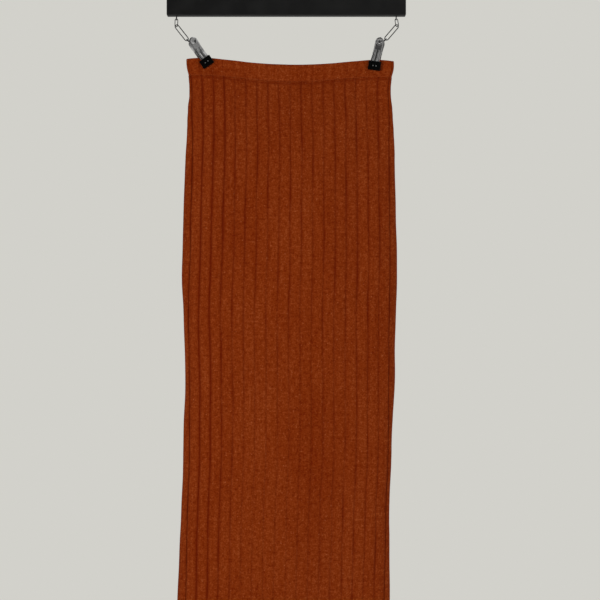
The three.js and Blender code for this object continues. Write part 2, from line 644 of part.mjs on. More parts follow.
// A rubber jaw pad with a pocket, open at the top, for its lever's foot. The pad lies flat on the cloth.
function padGeometry(toBack, clip) {
  const middle = toBack * (PAD_NEAR + PAD_THICKNESS / 2);
  const pad = roundedBlock(PAD_WIDTH, PAD_HEIGHT, PAD_THICKNESS, PAD_CORNER, PAD_BEVEL);
  pad.translate(0, middle, 0).rotateY(THREE.MathUtils.degToRad(clip.jaw));
  const pocketWidth = 2 * (LEVER_FOOT_HALF + GAP);
  const pocket = new THREE.BoxGeometry(pocketWidth, LEVER_THICKNESS + 2 * GAP, PAD_HEIGHT);
  pocket.translate(0, toBack * LEVER_PROFILE[0].off, LEVER_FOOT - GAP + PAD_HEIGHT / 2);
  pocket.rotateZ(THREE.MathUtils.degToRad(clip.turn));
  return geometryFrom(solidFrom(pad).subtract(solidFrom(pocket)));
}

function pinGeometry() {
  const shaft = FRONT_EAR_X + EAR_THICKNESS + GAP;
  const end = shaft + PIN_HEAD;
  const profile = [
    new THREE.Vector2(0, -end),
    new THREE.Vector2(PIN_HEAD_RADIUS, -end),
    new THREE.Vector2(PIN_HEAD_RADIUS, -shaft),
    new THREE.Vector2(PIN_RADIUS, -shaft),
    new THREE.Vector2(PIN_RADIUS, shaft),
    new THREE.Vector2(PIN_HEAD_RADIUS, shaft),
    new THREE.Vector2(PIN_HEAD_RADIUS, end),
    new THREE.Vector2(0, end),
  ];
  return new THREE.LatheGeometry(profile, PIN_SIDES).rotateZ(Math.PI / 2).translate(0, 0, PIVOT_Z);
}

function springGeometry() {
  const profile = [
    new THREE.Vector2(SPRING_BORE, -SPRING_HALF),
    new THREE.Vector2(SPRING_RADIUS, -SPRING_HALF),
    new THREE.Vector2(SPRING_RADIUS, SPRING_HALF),
    new THREE.Vector2(SPRING_BORE, SPRING_HALF),
    new THREE.Vector2(SPRING_BORE, -SPRING_HALF),
  ];
  return new THREE.LatheGeometry(profile, SPRING_SIDES).rotateZ(Math.PI / 2).translate(0, 0, PIVOT_Z);
}

function addClip(clip) {
  const whole = new THREE.Group();
  whole.position.set(clip.x, 0, clip.z);
  whole.rotation.y = THREE.MathUtils.degToRad(clip.lean);
  part.add(whole);
  const levers = new THREE.Group();
  levers.rotation.z = THREE.MathUtils.degToRad(clip.turn);
  whole.add(levers);
  const holeX = Math.sign(clip.eye) * CHAIN_HOLE_X;
  addMesh(levers, `clip_front_${clip.side}`, leverGeometry(-1, FRONT_EAR_X, holeX), chrome);
  addMesh(levers, `clip_back_${clip.side}`, leverGeometry(1, BACK_EAR_X, holeX), chrome);
  addMesh(levers, `clip_pin_${clip.side}`, pinGeometry(), chrome);
  addMesh(levers, `clip_spring_${clip.side}`, springGeometry(), chrome);
  addMesh(whole, `pad_front_${clip.side}`, padGeometry(-1, clip), rubber);
  addMesh(whole, `pad_back_${clip.side}`, padGeometry(1, clip), rubber);
  whole.updateMatrixWorld(true);
  addChain(clip, levers.localToWorld(new THREE.Vector3(holeX, leverOff(CHAIN_HOLE_Z), CHAIN_HOLE_Z)));
}

addSkirt();
addHanger();
CLIPS.forEach(addClip);

export default part;
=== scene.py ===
import math
from collections import namedtuple

import bmesh
import bpy
import numpy as np
from mathutils import Matrix, Vector


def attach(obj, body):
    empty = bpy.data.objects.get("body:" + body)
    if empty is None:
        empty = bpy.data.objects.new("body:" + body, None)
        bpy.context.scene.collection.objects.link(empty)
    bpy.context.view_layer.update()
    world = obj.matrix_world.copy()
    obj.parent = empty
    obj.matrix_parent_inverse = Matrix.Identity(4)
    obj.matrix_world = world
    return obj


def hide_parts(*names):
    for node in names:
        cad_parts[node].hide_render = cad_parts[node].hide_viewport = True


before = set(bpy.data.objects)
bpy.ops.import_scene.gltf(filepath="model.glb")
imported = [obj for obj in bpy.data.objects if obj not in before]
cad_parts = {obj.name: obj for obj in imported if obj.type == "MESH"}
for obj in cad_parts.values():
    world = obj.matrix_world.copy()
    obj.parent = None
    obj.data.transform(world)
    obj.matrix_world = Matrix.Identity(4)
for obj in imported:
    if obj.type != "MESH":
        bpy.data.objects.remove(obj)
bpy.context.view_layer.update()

# A wide-rib jersey maxi skirt on a flat bar hanger. Sizes are in millimetres, and MM turns them into metres.
# +X is to the right seen from the front, +Z is up and the front faces -Y. "drop" is below the waist edge.
MM = 0.001
GAP = 0.3
SEAM_GAP = 0.1  # sewn edges press together closer than the solids do

# The cloth's form, the same as the solids'
WAIST_Z = -168
BAND_HEIGHT = 26
LENGTH = 940
WALL = 1.5
RIB_RISE = 1.1
BAND_WALL = 2.6
BAND_RIB_RISE = 0.5
FRONT_RIBS = 18
BACK_RIBS = 21
FRONT_SEED = 10
BACK_SEED = 20
SQUARENESS = 2.5
LEAST_DEPTH = 0.5
FRONT_SAG = 10.5
BACK_SAG = 7.5
SAG_SHAPE = 1.3
CORNER_SPAN = 0.25
END_DROOP = 2.2
SIDE_DROP = 3
SAG_DEPTH = 150
PINCH_CORE = 13
PINCH_REACH = 48
PINCH_DEPTH = 190
FOLD_EASE = 90
LINE_STEPS = 960

# left, right: x of the outline. front, back: from the middle plane to the cloth's inside.
# seam_left, seam_right: from the outline in to the side seam, on the front.
Section = namedtuple("Section", "drop left right front back seam_left seam_right")
SECTIONS = [Section(*row) for row in (
    (0, -149.7, 161.1, 3.4, 3.2, 2.6, 3.0),
    (13, -148.9, 160.6, 3.6, 3.4, 2.6, 3.0),
    (26, -146.2, 157.4, 4.4, 4.0, 2.6, 3.0),
    (48, -144.5, 156.0, 7.0, 6.0, 3.0, 3.4),
    (78, -146.5, 158.2, 11.5, 9.5, 5.0, 4.6),
    (123, -149.0, 160.5, 16.5, 14.0, 9.0, 6.8),
    (168, -151.2, 162.0, 20.5, 17.0, 11.0, 8.4),
    (228, -153.4, 163.2, 24.0, 19.5, 11.7, 9.6),
    (288, -155.0, 165.0, 26.0, 21.0, 12.4, 10.6),
    (333, -155.6, 165.2, 26.5, 21.5, 11.4, 11.0),
    (378, -153.4, 163.6, 26.5, 22.0, 8.0, 10.2),
    (438, -151.6, 162.3, 26.5, 22.0, 7.0, 9.4),
    (498, -150.5, 161.2, 26.5, 22.0, 7.0, 8.6),
    (543, -152.6, 158.4, 26.5, 22.0, 8.6, 6.0),
    (603, -153.6, 156.2, 27.0, 22.5, 9.2, 4.8),
    (663, -156.0, 153.8, 27.5, 23.0, 9.4, 5.4),
    (723, -158.7, 153.6, 28.0, 23.5, 10.6, 6.0),
    (783, -161.2, 154.2, 28.5, 24.0, 12.6, 8.4),
    (860, -164.6, 155.2, 29.0, 24.5, 13.0, 9.6),
    (940, -166.4, 156.6, 29.5, 25.0, 13.0, 10.0),
)]

Fold = namedtuple("Fold", "x top bottom width rise")
FRONT_FOLDS = [Fold(*row) for row in (
    (-113, 20, 430, 17, 3.4),
    (-86, 90, 360, 15, -2.4),
    (128, 20, 380, 15, 2.8),
    (103, 80, 420, 15, -2.8),
    (12, 40, 520, 46, 2.2),
    (-58, 400, 960, 30, 3.0),
    (52, 460, 960, 34, -3.2),
)]
BACK_FOLDS = [Fold(*row) for row in (
    (-118, 20, 390, 17, 2.8),
    (-88, 100, 420, 17, -2.6),
    (126, 20, 440, 17, 3.0),
    (96, 110, 380, 16, -2.2),
    (-30, 340, 960, 34, 3.2),
    (60, 420, 960, 32, -3.0),
)]

# Soft creases. Each runs from (x0, drop0) to (x1, drop1); a negative rise is a trough.
Crease = namedtuple("Crease", "x0 drop0 x1 drop1 width rise")
CREASE_START = (-0.05, 0.25)  # shares of its length between which it comes in, and between which it ends
CREASE_END = (0.5, 1.05)
FRONT_CREASES = [Crease(*row) for row in (
    (-124, 22, -141, 98, 4.5, 0.9),
    (-115, 24, -119, 138, 5, -0.8),
    (-106, 16, -80, 78, 5.5, 0.8),
    (-100, 9, -44, 30, 4.5, 0.5),
    (124, 24, 109, 112, 5.5, 0.8),
    (133, 26, 138, 150, 5, -0.9),
    (141, 22, 152, 84, 4.5, 0.7),
    (117, 15, 66, 36, 4.5, 0.5),
    (-20, 118, -27, 334, 8, 0.6),
    (90, 250, 83, 520, 8, -0.7),
    (-70, 300, -83, 640, 9, -0.8),
    (22, 420, 35, 800, 10, 0.8),
    (-129, 520, -141, 770, 8, -0.7),
    (131, 560, 124, 835, 8, 0.7),
    (-14, 640, -6, 930, 9, -0.7),
)]
BACK_CREASES = [Crease(*row) for row in (
    (-126, 22, -142, 88, 4.5, 0.8),
    (-116, 24, -112, 124, 5, -0.9),
    (-104, 18, -70, 86, 5.5, 0.7),
    (-98, 10, -52, 28, 4.5, 0.5),
    (122, 24, 100, 128, 5.5, 0.8),
    (135, 26, 142, 136, 5, -0.8),
    (116, 16, 60, 40, 4.5, 0.5),
    (36, 130, 28, 352, 8, 0.7),
    (-66, 260, -60, 560, 9, -0.8),
    (84, 330, 96, 690, 9, -0.7),
    (-110, 480, -124, 800, 8, 0.8),
    (6, 600, -8, 925, 9, -0.7),
)]

# Fine form of the cloth that the solids don't have
RIB_COLUMNS = [0, 0.03, 0.07, 0.12, 0.22, 0.36, 0.5, 0.64, 0.78, 0.88, 0.93, 0.97]
RIB_FLATNESS = 5  # a rib's face is flat, with narrow grooves
RIB_SHOULDER = 0.75
REVERSE_RIDGE = 0.35  # the grooves stand out on the inside
ROW_STEP = 5.6
BAND_ROW_STEP = 2.4
EDGE_ROWS = [0, 0.1, 0.3, 0.62]  # in from an edge, in parts of the thickness
FOLDED = [0.3, 0.66, 0.9, 1]  # share of the thickness at each of these rows, on a folded or turned edge
SEWN = [0.8, 0.92, 0.98, 1]
WANDER = 0.45
WANDER_GROWTH = 12  # in from the seams, which don't wander
LUMP = 0.35
RIB_UNEVEN = 0.1
SEAM_PUCKER = 0.3
BAND_PUCKER = 0.3
HEM_PUCKER = 0.35
PUCKER_REACH = 9  # from the seam to where its puckers end
HELD_DROPS = (18, 60)  # between these the clips' flat grip on the cloth ends

# Sizes of the cloth's uneven waves, across it and down
SEAM_WAVES = (150, 15)
BAND_WAVES = (11, 60)
HEM_WAVES = (13, 60)
LUMP_WAVES = (42, 75)

# The same for waves along the ribs, in ribs across
WANDER_WAVES = (3.1, 150)
RIB_WAVES = (2.3, 120)
GROOVE_WAVES = (1.7, 95)

# Painted shade in the grooves: uneven, strongest beside one rib of the front, fading in the middle lower
# down
GROOVE_SHADE = 0.58
GROOVE_SOFTNESS = 3.4
GROOVE_UNEVEN = 0.26
GROOVE_STRONG = 0.5
LEAST_SHADE = 0.1
STRONG_RIB = 1.6
STRONG_REACH = 1.6
FADE_SHARE = 0.55
FADE_HALF = 0.3
FADE_DROPS = (250, 650)
TROUGH_SHADE = 0.15  # painted shade in the troughs between the soft folds
TROUGH_DEPTH = 3  # that of a trough shaded in full

UNDER_BAND = 29  # drop of the soft trough where the body hangs from the band's seam
UNDER_BAND_WIDTH = 2.0
UNDER_BAND_ROWS = [29, 30.8]
UNDER_BAND_DIP = 0.5
# painted shade in the soft trough under the band's seam
UNDER_BAND_SHADE = 0.6
RIPPLE_WAVES = 7
WALES_PER_RIB = 12
WALE = 1.42
COURSE = 1.15

# Sewing
STITCH_LENGTH = 2.7
STITCH_PITCH = 3.3
STITCH_RISES = [-0.22, 0.12, 0.2, 0.12, -0.22]  # along a stitch, over the cloth's face
STITCH_SHOULDER = 0.6  # from its middle to the second and fourth of these, in parts of half its length
THREAD = 0.6
BAND_STITCH_DROP = 25.0
HEM_STITCH_RISES = [17, 22]

# The hanger
BAR_BOTTOM = -105
BAR_HEIGHT = 32
BAR_EDGE = 0.35
BAR_EDGE_ANGLE = math.radians(25)
HOOK_WIRE = 3.8
HOOK_INNER_RADIUS = 20
HOOK_SEAT = 16
HOOK_START = math.radians(-42)
HOOK_END = math.radians(204)
HOOK_STEM_TOP = -58
HOOK_EASE = 11
HOOK_EASE_STEPS = 14
HOOK_ARC_STEPS = 60
EYE_X = 164.7
EYE_WIRE = 1.4
EYE_RADIUS = 2.5
EYE_SEAT = 9
EYE_STEPS = 28
Link = namedtuple("Link", "wire width reach twist")
SMALL_LINK = Link(1.2, 4.6, 10, 35)
LONG_LINK = Link(1.5, 6.8, 26.3, 38)
RING_WIRE = 1.4
RING_RADIUS = 4.2
RING_TWIST = 90
CHAIN_CROSSING = 1.2

# Each clip has a frame of its own: origin between the jaws, +Z towards the thumb ends.
# eye: x of its screw eye. lean: to the side. turn: of the levers about their length. jaw: lean of the pads
# against the levers. ring_rise: how steeply its ring goes up and out.
Clip = namedtuple("Clip", "side x z eye lean turn jaw ring_rise")
CLIPS = [
    Clip("left", -119.1, -175.2, -EYE_X, -34.5, 10, 0, 42),
    Clip("right", 131.7, -180.8, EYE_X, 14, -10, -6.5, 40),
]
LEVER_THICKNESS = 1
LEVER_TOP = 43
LEVER_TOP_RADIUS = 6.3
LEVER_FOOT = -4.5
LEVER_FOOT_HALF = 6.8
LEVER_PROFILE = [(LEVER_FOOT, 6.3), (7.4, 6.3), (20, 4.4), (35, 7.2), (LEVER_TOP, 8)]
LEVER_ROWS = 64
LEVER_COLUMNS = 45
LEVER_END_ROWS = 16
LEVER_END_TURN = math.radians(86)
LEVER_RIM = 0.5  # this near its long edges the plate gets thinner
LEVER_RIM_LEAST = 0.35
LEVER_CURL = 0.8  # the long edges are rolled towards the other lever
CURL_SHARPNESS = 5
CURL_START = (5, 12)
DISH_RADIUS = 4.5
DISH_DEPTH = 1.1
DISH_SLOPE = (0.35, 0.95)  # shares of its radius
DISH_RIM = 0.3
DISH_RIM_WIDTH = 0.55
BEAD_X = 2.7
BEAD_HALF = 1.0
BEAD_RISE = 0.65
BEAD_TOP = 24
BEAD_START = (5.5, 7.5)
PIVOT_Z = 20
PIN_RADIUS = 1.1
PIN_HEAD_RADIUS = 1.9
PIN_HEAD = 0.6
PIN_HEAD_PROFILE = [(0, 0.55), (0.12, 0.86), (0.32, 1)]  # in from the end, share of the radius
EAR_RADIUS = 2.7
EAR_ROOT = 2.4  # the ear's foot on the lever reaches this far past it
EAR_THICKNESS = 0.8
EAR_STEPS = 17
FRONT_EAR_X = 5.5
BACK_EAR_X = FRONT_EAR_X - EAR_THICKNESS - 0.4
SPRING_WIRE = 0.9
SPRING_RADIUS = 2.5
SPRING_TURNS = 7
SPRING_STEPS = 20  # in each turn
SPRING_FOOT = 4
SPRING_CLEARANCE = 0.1
SPRING_ARM_Z = 33
CHAIN_HOLE_X = 1.5
CHAIN_HOLE_Z = 39.5
CHAIN_HOLE_RADIUS = 1.6
PAD_WIDTH = 18.6
PAD_HEIGHT = 13.4
PAD_NEAR = 3.75
PAD_THICKNESS = 5.2
PAD_ROUND = 1.1
BOSS_X = 2.3
BOSS_Z = -0.6
BOSS_RADIUS = 0.85
BOSS_SIDES = 16
BOSS_PROFILE = [(-0.3, 1), (0.12, 0.92), (0.3, 0.6), (0.38, 0.12)]  # rise, share of the radius
BOSS_FACES = BOSS_SIDES * (len(BOSS_PROFILE) - 1) + 2


# Numbers and curves

def smooth_step(value, low, high):
    share = np.clip((np.asarray(value, float) - low) / (high - low), 0, 1)
    return share * share * (3 - 2 * share)


def between(places, at):
    """The last known place before each given one, and the share of the way to the next."""
    i = np.clip(np.searchsorted(places, at, "right") - 1, 0, len(places) - 2)
    return i, (at - places[i]) / (places[i + 1] - places[i])


def smooth_curve(places, values, at):
    """Values at the given places of one smooth curve through the known ones."""
    places = np.asarray(places, float)
    values = np.asarray(values, float)
    slopes = np.gradient(values, places)
    i, t = between(places, np.asarray(at, float))
    span = places[i + 1] - places[i]
    start = (1 + 2 * t) * (1 - t) ** 2 * values[i] + t * (1 - t) ** 2 * span * slopes[i]
    end = t * t * (3 - 2 * t) * values[i + 1] - t * t * (1 - t) * span * slopes[i + 1]
    return start + end


def ripple(a, b, size_a, size_b, seed):
    """Soft uneven waves between about -1 and 1, with bumps of the given sizes in the two directions."""
    draw = np.random.default_rng(seed)
    total = 0
    for _ in range(RIPPLE_WAVES):
        turn = draw.uniform(0, 2 * math.pi)
        stretch = draw.uniform(0.7, 1.5)
        phase = draw.uniform(0, 2 * math.pi)
        along = math.cos(turn) * a / size_a + math.sin(turn) * b / size_b
        total = total + np.sin(2 * math.pi * stretch * along + phase)
    return total * 2 / RIPPLE_WAVES


# Meshes

CAP_TURNS = (math.pi / 8, math.pi / 4, 3 * math.pi / 8, 1.5)  # where the rings of a round end lie


def circle(radius, sides):
    turns = [2 * math.pi * k / sides for k in range(sides)]
    return [(radius * math.cos(turn), radius * math.sin(turn)) for turn in turns]


def placed(name, data):
    """An object for the data, in the scene."""
    made = bpy.data.objects.new(name, data)
    bpy.context.scene.collection.objects.link(made)
    return made


def new_object(name, shape, look):
    """Makes a piece from a shape in millimetres, with its material and body."""
    vertices, faces = shape
    mesh = bpy.data.meshes.new(name)
    mesh.from_pydata((np.asarray(vertices, float) * MM).tolist(), [], faces)
    mesh.validate()
    mesh.polygons.foreach_set("use_smooth", [True] * len(mesh.polygons))
    piece = placed(name, mesh)
    mesh.materials.append(look)
    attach(piece, "root")
    return piece


def add_fine(node, shape, look):
    """Makes the finer form of a CAD node, which it stands for."""
    piece = new_object(f"{node}_fine", shape, look)
    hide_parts(node)
    return piece


def shell(outer, inner):
    """A closed shell between two grids of points of the same size."""
    rows, columns = outer.shape[:2]
    count = rows * columns
    i, j = np.meshgrid(np.arange(rows - 1), np.arange(columns - 1), indexing="ij")
    a = (i * columns + j).ravel()
    quads = np.stack([a, a + columns, a + columns + 1, a + 1], 1)
    faces = [quads, quads[:, ::-1] + count]
    for edge, flip in (
        (np.arange(columns), False),
        ((rows - 1) * columns + np.arange(columns), True),
        (np.arange(rows) * columns, True),
        (np.arange(rows) * columns + columns - 1, False),
    ):
        strip = np.stack([edge[:-1], edge[1:], edge[1:] + count, edge[:-1] + count], 1)
        faces.append(strip[:, ::-1] if flip else strip)
    vertices = np.concatenate([outer.reshape(-1, 3), inner.reshape(-1, 3)])
    return vertices.tolist(), np.concatenate(faces).tolist()


def ring_faces(rings, sides, closed=False):
    """Faces along rings of points, with a face over each end, or with the last ring joined to the first."""
    faces = []
    for i in range(rings if closed else rings - 1):
        here = i * sides
        there = (i + 1) % rings * sides
        for k in range(sides):
            after = (k + 1) % sides
            faces.append([here + k, here + after, there + after, there + k])
    if not closed:
        faces.append(list(reversed(range(sides))))
        faces.append([(rings - 1) * sides + k for k in range(sides)])
    return faces


def tube(points, radius, sides=12, closed=False, round_ends=False):
    """Vertices and faces of a round wire along points, carried round bends without twisting."""
    points = [Vector(p) for p in points]
    before = [points[-1 if closed else 0], *points[:-1]]
    after = [*points[1:], points[0 if closed else -1]]
    tangents = [(b - a).normalized() for a, b in zip(before, after)]
    side = tangents[0].orthogonal().normalized()
    rings = []
    for centre, along in zip(points, tangents):
        side = (side - along * side.dot(along)).normalized()
        rings.append((centre, along, side, radius))
    if round_ends:
        shares = [(math.sin(t), math.cos(t)) for t in CAP_TURNS]
        caps = []
        for way, (centre, along, side, _) in ((-radius, rings[0]), (radius, rings[-1])):
            caps.append([(centre + along * way * s, along, side, radius * c) for s, c in shares])
        rings = caps[0][::-1] + rings + caps[1]
    vertices = []
    for centre, along, side, size in rings:
        other = along.cross(side)
        vertices += [centre + (side * a + other * b) * size for a, b in circle(1, sides)]
    return [tuple(v) for v in vertices], ring_faces(len(rings), sides, closed)


def joined(*shapes):
    """One list of vertices and faces from several."""
    vertices = []
    faces = []
    for some_vertices, some_faces in shapes:
        start = len(vertices)
        vertices.extend(some_vertices)
        faces.extend([start + i for i in face] for face in some_faces)
    return vertices, faces


def turned(shape):
    """The shape with its faces the other way round."""
    vertices, faces = shape
    return vertices, [face[::-1] for face in faces]


def moved(shape, matrix):
    vertices, faces = shape
    return [tuple(matrix @ Vector(v)) for v in vertices], faces


def lathe(profile, sides=28):
    """A round shape about the X axis from (x, radius) pairs, closed at both ends."""
    vertices = [(x, y, z) for x, radius in profile for y, z in circle(radius, sides)]
    return vertices, ring_faces(len(profile), sides)


def box_shape(low, high):
    """A plain box, used for cutting and as the start of a rounded block."""
    vertices = [(x, y, z) for x in (low[0], high[0]) for y in (low[1], high[1]) for z in (low[2], high[2])]
    faces = [[0, 1, 3, 2], [4, 6, 7, 5], [0, 4, 5, 1], [2, 3, 7, 6], [0, 2, 6, 4], [1, 5, 7, 3]]
    return vertices, faces


def rounded_block(low, high, radius):
    """A block with rounded edges and corners."""
    vertices, faces = box_shape(low, high)
    shape = bmesh.new()
    made = [shape.verts.new(v) for v in vertices]
    for face in faces:
        shape.faces.new([made[i] for i in face])
    bmesh.ops.recalc_face_normals(shape, faces=shape.faces)
    rounding = {"offset": radius, "segments": 4, "profile": 0.5, "clamp_overlap": True}
    bmesh.ops.bevel(shape, geom=list(shape.edges), affect="EDGES", **rounding)
    shape.verts.index_update()
    rounded = [tuple(v.co) for v in shape.verts], [[v.index for v in f.verts] for f in shape.faces]
    shape.free()
    return rounded


def cut(shape, tool):
    """The shape with the tool's shape taken away."""
    holders = []
    for name, (vertices, faces) in (("cut_body", shape), ("cut_tool", tool)):
        mesh = bpy.data.meshes.new(name)
        mesh.from_pydata([tuple(v) for v in vertices], [], faces)
        holders.append(placed(name, mesh))
    modifier = holders[0].modifiers.new("cut", "BOOLEAN")
    modifier.operation = "DIFFERENCE"
    modifier.solver = "EXACT"
    modifier.object = holders[1]
    result = holders[0].evaluated_get(bpy.context.evaluated_depsgraph_get()).to_mesh()
    left = [tuple(v.co) for v in result.vertices], [list(p.vertices) for p in result.polygons]
    for holder in holders:
        mesh = holder.data
        bpy.data.objects.remove(holder)
        bpy.data.meshes.remove(mesh)
    return left


# Node materials

class Tree:
    """A node tree being put together."""

    def __init__(self, tree):
        self.tree = tree

    def give(self, socket, value):
        if isinstance(value, bpy.types.NodeSocket):
            self.tree.links.new(value, socket)
        else:
            socket.default_value = value

    def node(self, kind, sockets, **settings):
        made = self.tree.nodes.new("ShaderNode" + kind)
        for key, value in settings.items():
            setattr(made, key, value)
        for key, value in sockets.items():
            self.give(made.inputs[key], value)
        return made

    def mix(self, factor, a, b, blend="MIX"):
        sockets = {0: factor, 6: a, 7: b}
        return self.node("Mix", sockets, data_type="RGBA", blend_type=blend).outputs[2]


class Look(Tree):
    """A material being put together from nodes."""

    def __init__(self, name):
        self.material = bpy.data.materials.new(name)
        self.material.use_nodes = True
        super().__init__(self.material.node_tree)
        self.shader = self.tree.nodes["Principled BSDF"]

    def math(self, operation, a, b=0.0):
        return self.node("Math", {0: a, 1: b}, operation=operation).outputs[0]

    def range(self, value, low, high, to_low=0.0, to_high=1.0):
        sockets = {0: value, 1: low, 2: high, 3: to_low, 4: to_high}
        return self.node("MapRange", sockets, interpolation_type="SMOOTHSTEP").outputs[0]

    def scaled(self, vector, x, y, z=1.0):
        return self.node("Mapping", {"Vector": vector, "Scale": (x, y, z)}).outputs[0]

    def noise(self, vector, size, detail, roughness):
        """Noise whose coarsest spots have about this size in millimetres."""
        sockets = {"Vector": vector, "Scale": 1 / (size * MM), "Detail": detail, "Roughness": roughness}
        return self.node("TexNoise", sockets).outputs[0]

    def bump(self, height, rise, strength, normal=None):
        """Relief of a rise in millimetres."""
        sockets = {"Height": height, "Distance": rise * MM, "Strength": strength}
        if normal is not None:
            sockets["Normal"] = normal
        return self.node("Bump", sockets).outputs[0]

    def set(self, **sockets):
        """Sets or links the shader's sockets by their names, and gives the finished material."""
        for key, value in sockets.items():
            self.give(self.shader.inputs[key.replace("_", " ").title().replace("Ior", "IOR")], value)
        return self.material

    def place(self):
        return self.node("TexCoord", {}).outputs["Object"]


def colour(red, green, blue):
    return (red, green, blue, 1.0)


def grey(value):
    return colour(value, value, value)


def knit_look(name, stitch_strength):
    """Brushed jersey: rows of small V stitches, heathered yarn and soft streaks, with painted shade in the
    grooves, under the band and in the fold troughs.
    """
    look = Look(name)
    dark, middle, light = YARN_TONES
    flat = look.node("UVMap", {}, uv_map="cloth").outputs[0]
    parts = look.node("SeparateXYZ", {0: flat})
    across, down = parts.outputs[0], parts.outputs[1]
    painted_shade = look.node("Attribute", {}, attribute_name="painted_shade").outputs["Fac"]

    yarn = look.noise(flat, 2.4, 2, 0.6)
    mottle = look.noise(flat, 6, 3, 0.62)
    streak = look.noise(look.scaled(flat, 1, 0.08), 4, 2, 0.5)
    broad = look.noise(look.scaled(flat, 1, 0.45), 75, 2, 0.5)
    fleck = look.noise(flat, 3, 1, 0.5)

    tone = look.math("MULTIPLY", yarn, 0.42)
    for share, source in ((0.34, mottle), (0.12, streak), (0.12, broad)):
        tone = look.node("Math", {0: source, 1: share, 2: tone}, operation="MULTIPLY_ADD").outputs[0]
    base = look.mix(look.range(tone, 0.40, 0.5), dark, middle)
    base = look.mix(look.range(tone, 0.5, 0.60), base, light)
    base = look.mix(look.range(fleck, 0.68, 0.78, 0.0, 0.6), base, FLECK)
    # Painted shade: the cloth is darkened in its grooves, under the band and in the fold troughs
    base = look.mix(look.range(painted_shade, 0.0, 0.9, 0.0, 0.8), base, PAINTED_SHADE_COLOUR)

    wale = look.math("FRACT", look.math("MULTIPLY", across, 1 / (WALE * MM)))
    from_middle = look.math("MULTIPLY", look.math("ABSOLUTE", look.math("SUBTRACT", wale, 0.5)), 2)
    leg = look.math("ABSOLUTE", look.math("SUBTRACT", from_middle, 0.5))
    leg_height = look.math("SUBTRACT", 1.0, look.math("POWER", look.math("MULTIPLY", leg, 2), 2))
    slant = look.math("MULTIPLY", from_middle, 0.5)
    course = look.math("FRACT", look.math("ADD", look.math("MULTIPLY", down, 1 / (COURSE * MM)), slant))
    loop = look.math("SINE", look.math("MULTIPLY", course, math.pi))
    stitch = look.math("MULTIPLY", leg_height, loop)
    fuzz = look.noise(flat, 0.5, 3, 0.7)
    normal = look.bump(stitch, 0.28, stitch_strength)
    normal = look.bump(mottle, 0.9, 0.55, normal)
    normal = look.bump(fuzz, 0.25, 0.6, normal)
    look.set(sheen_weight=0.04, sheen_roughness=0.45, sheen_tint=colour(1.0, 0.5, 0.3))
    return look.set(base_color=base, normal=normal, roughness=0.93, specular_ior_level=0.04)


def thread_look():
    look = Look("sewing_thread")
    twist = look.noise(look.place(), 0.6, 2, 0.6)
    shade = look.mix(look.range(twist, 0.3, 0.7), colour(0.25, 0.036, 0.006), colour(0.34, 0.062, 0.014))
    normal = look.bump(twist, 0.1, 0.7)
    return look.set(base_color=shade, normal=normal, roughness=0.8, specular_ior_level=0.08)


def lacquer_look():
    """Satin black lacquer over wood, with the grain just showing and slightly rubbed patches."""
    look = Look("black_lacquer")
    grain = look.noise(look.scaled(look.place(), 0.05, 1, 1), 0.9, 4, 0.6)
    patch = look.noise(look.place(), 26, 3, 0.6)
    shade = look.mix(look.range(patch, 0.35, 0.7), grey(0.006), colour(0.0078, 0.0078, 0.0076))
    satin = look.range(patch, 0.3, 0.75, 0.36, 0.52)
    normal = look.bump(grain, 0.12, 0.35)
    return look.set(base_color=shade, normal=normal, roughness=satin, specular_ior_level=0.4)


def chrome_look(name, brightness, low, high):
    """Bright plating with fine scuffs and a little uneven polish."""
    look = Look(name)
    scuff = look.noise(look.scaled(look.place(), 1, 1, 0.25), 0.7, 4, 0.7)
    dull = look.noise(look.place(), 4, 3, 0.6)
    shade = look.mix(look.range(dull, 0.35, 0.75), grey(brightness), grey(0.82 * brightness))
    polish = look.range(dull, 0.3, 0.75, low, high)
    return look.set(base_color=shade, normal=look.bump(scuff, 0.04, 0.35), roughness=polish, metallic=1.0)


def rubber_look():
    look = Look("black_rubber")
    skin = look.noise(look.place(), 0.5, 3, 0.6)
    tone_noise = look.noise(look.place(), 3, 2, 0.6)
    shade = look.mix(look.range(tone_noise, 0.45, 0.8), grey(0.001), colour(0.003, 0.003, 0.0028))
    matt = look.range(tone_noise, 0.3, 0.7, 0.34, 0.5)
    normal = look.bump(skin, 0.06, 0.5)
    return look.set(base_color=shade, normal=normal, roughness=matt, specular_ior_level=0.08)


def boss_highlight_look():
    """The bosses' rubber, painted light grey as a highlight."""
    look = Look("boss_painted_highlight")
    tone_noise = look.noise(look.place(), 0.8, 2, 0.6)
    shade = look.mix(look.range(tone_noise, 0.3, 0.7), grey(0.1), colour(0.26, 0.26, 0.25))
    return look.set(base_color=shade, normal=look.bump(tone_noise, 0.05, 0.5), roughness=0.4)


# Rust yarn: dark, middle and light
YARN_TONES = [colour(0.168, 0.0163, 0.0012), colour(0.231, 0.0318, 0.0037), colour(0.299, 0.0555, 0.0108)]
FLECK = colour(0.40, 0.12, 0.045)
# Painted shade: the dark colour the cloth is mixed towards in its grooves, under the band and in the fold
# troughs
PAINTED_SHADE_COLOUR = colour(0.135, 0.009, 0.0006)

RIB_KNIT = knit_look("rib_knit", 0.5)
BAND_KNIT = knit_look("band_knit", 0.4)
SEWING_THREAD = thread_look()
BLACK_LACQUER = lacquer_look()
HOOK_CHROME = chrome_look("hook_chrome", 0.66, 0.1, 0.22)
CHAIN_CHROME = chrome_look("chain_chrome", 0.14, 0.2, 0.34)
CLIP_CHROME = chrome_look("clip_chrome", 0.55, 0.12, 0.22)
BLACK_RUBBER = rubber_look()
BOSS_PAINTED_HIGHLIGHT = boss_highlight_look()


# The cloth

def pinch(x, drop):
    """How far the clips press the cloth's two sides together, from 0 to 1."""
    distance = np.min([np.abs(x - clip.x) for clip in CLIPS], axis=0)
    near = 1 - smooth_step(distance, PINCH_CORE, PINCH_REACH)
    return near * (1 - smooth_step(drop, BAND_HEIGHT, PINCH_DEPTH))


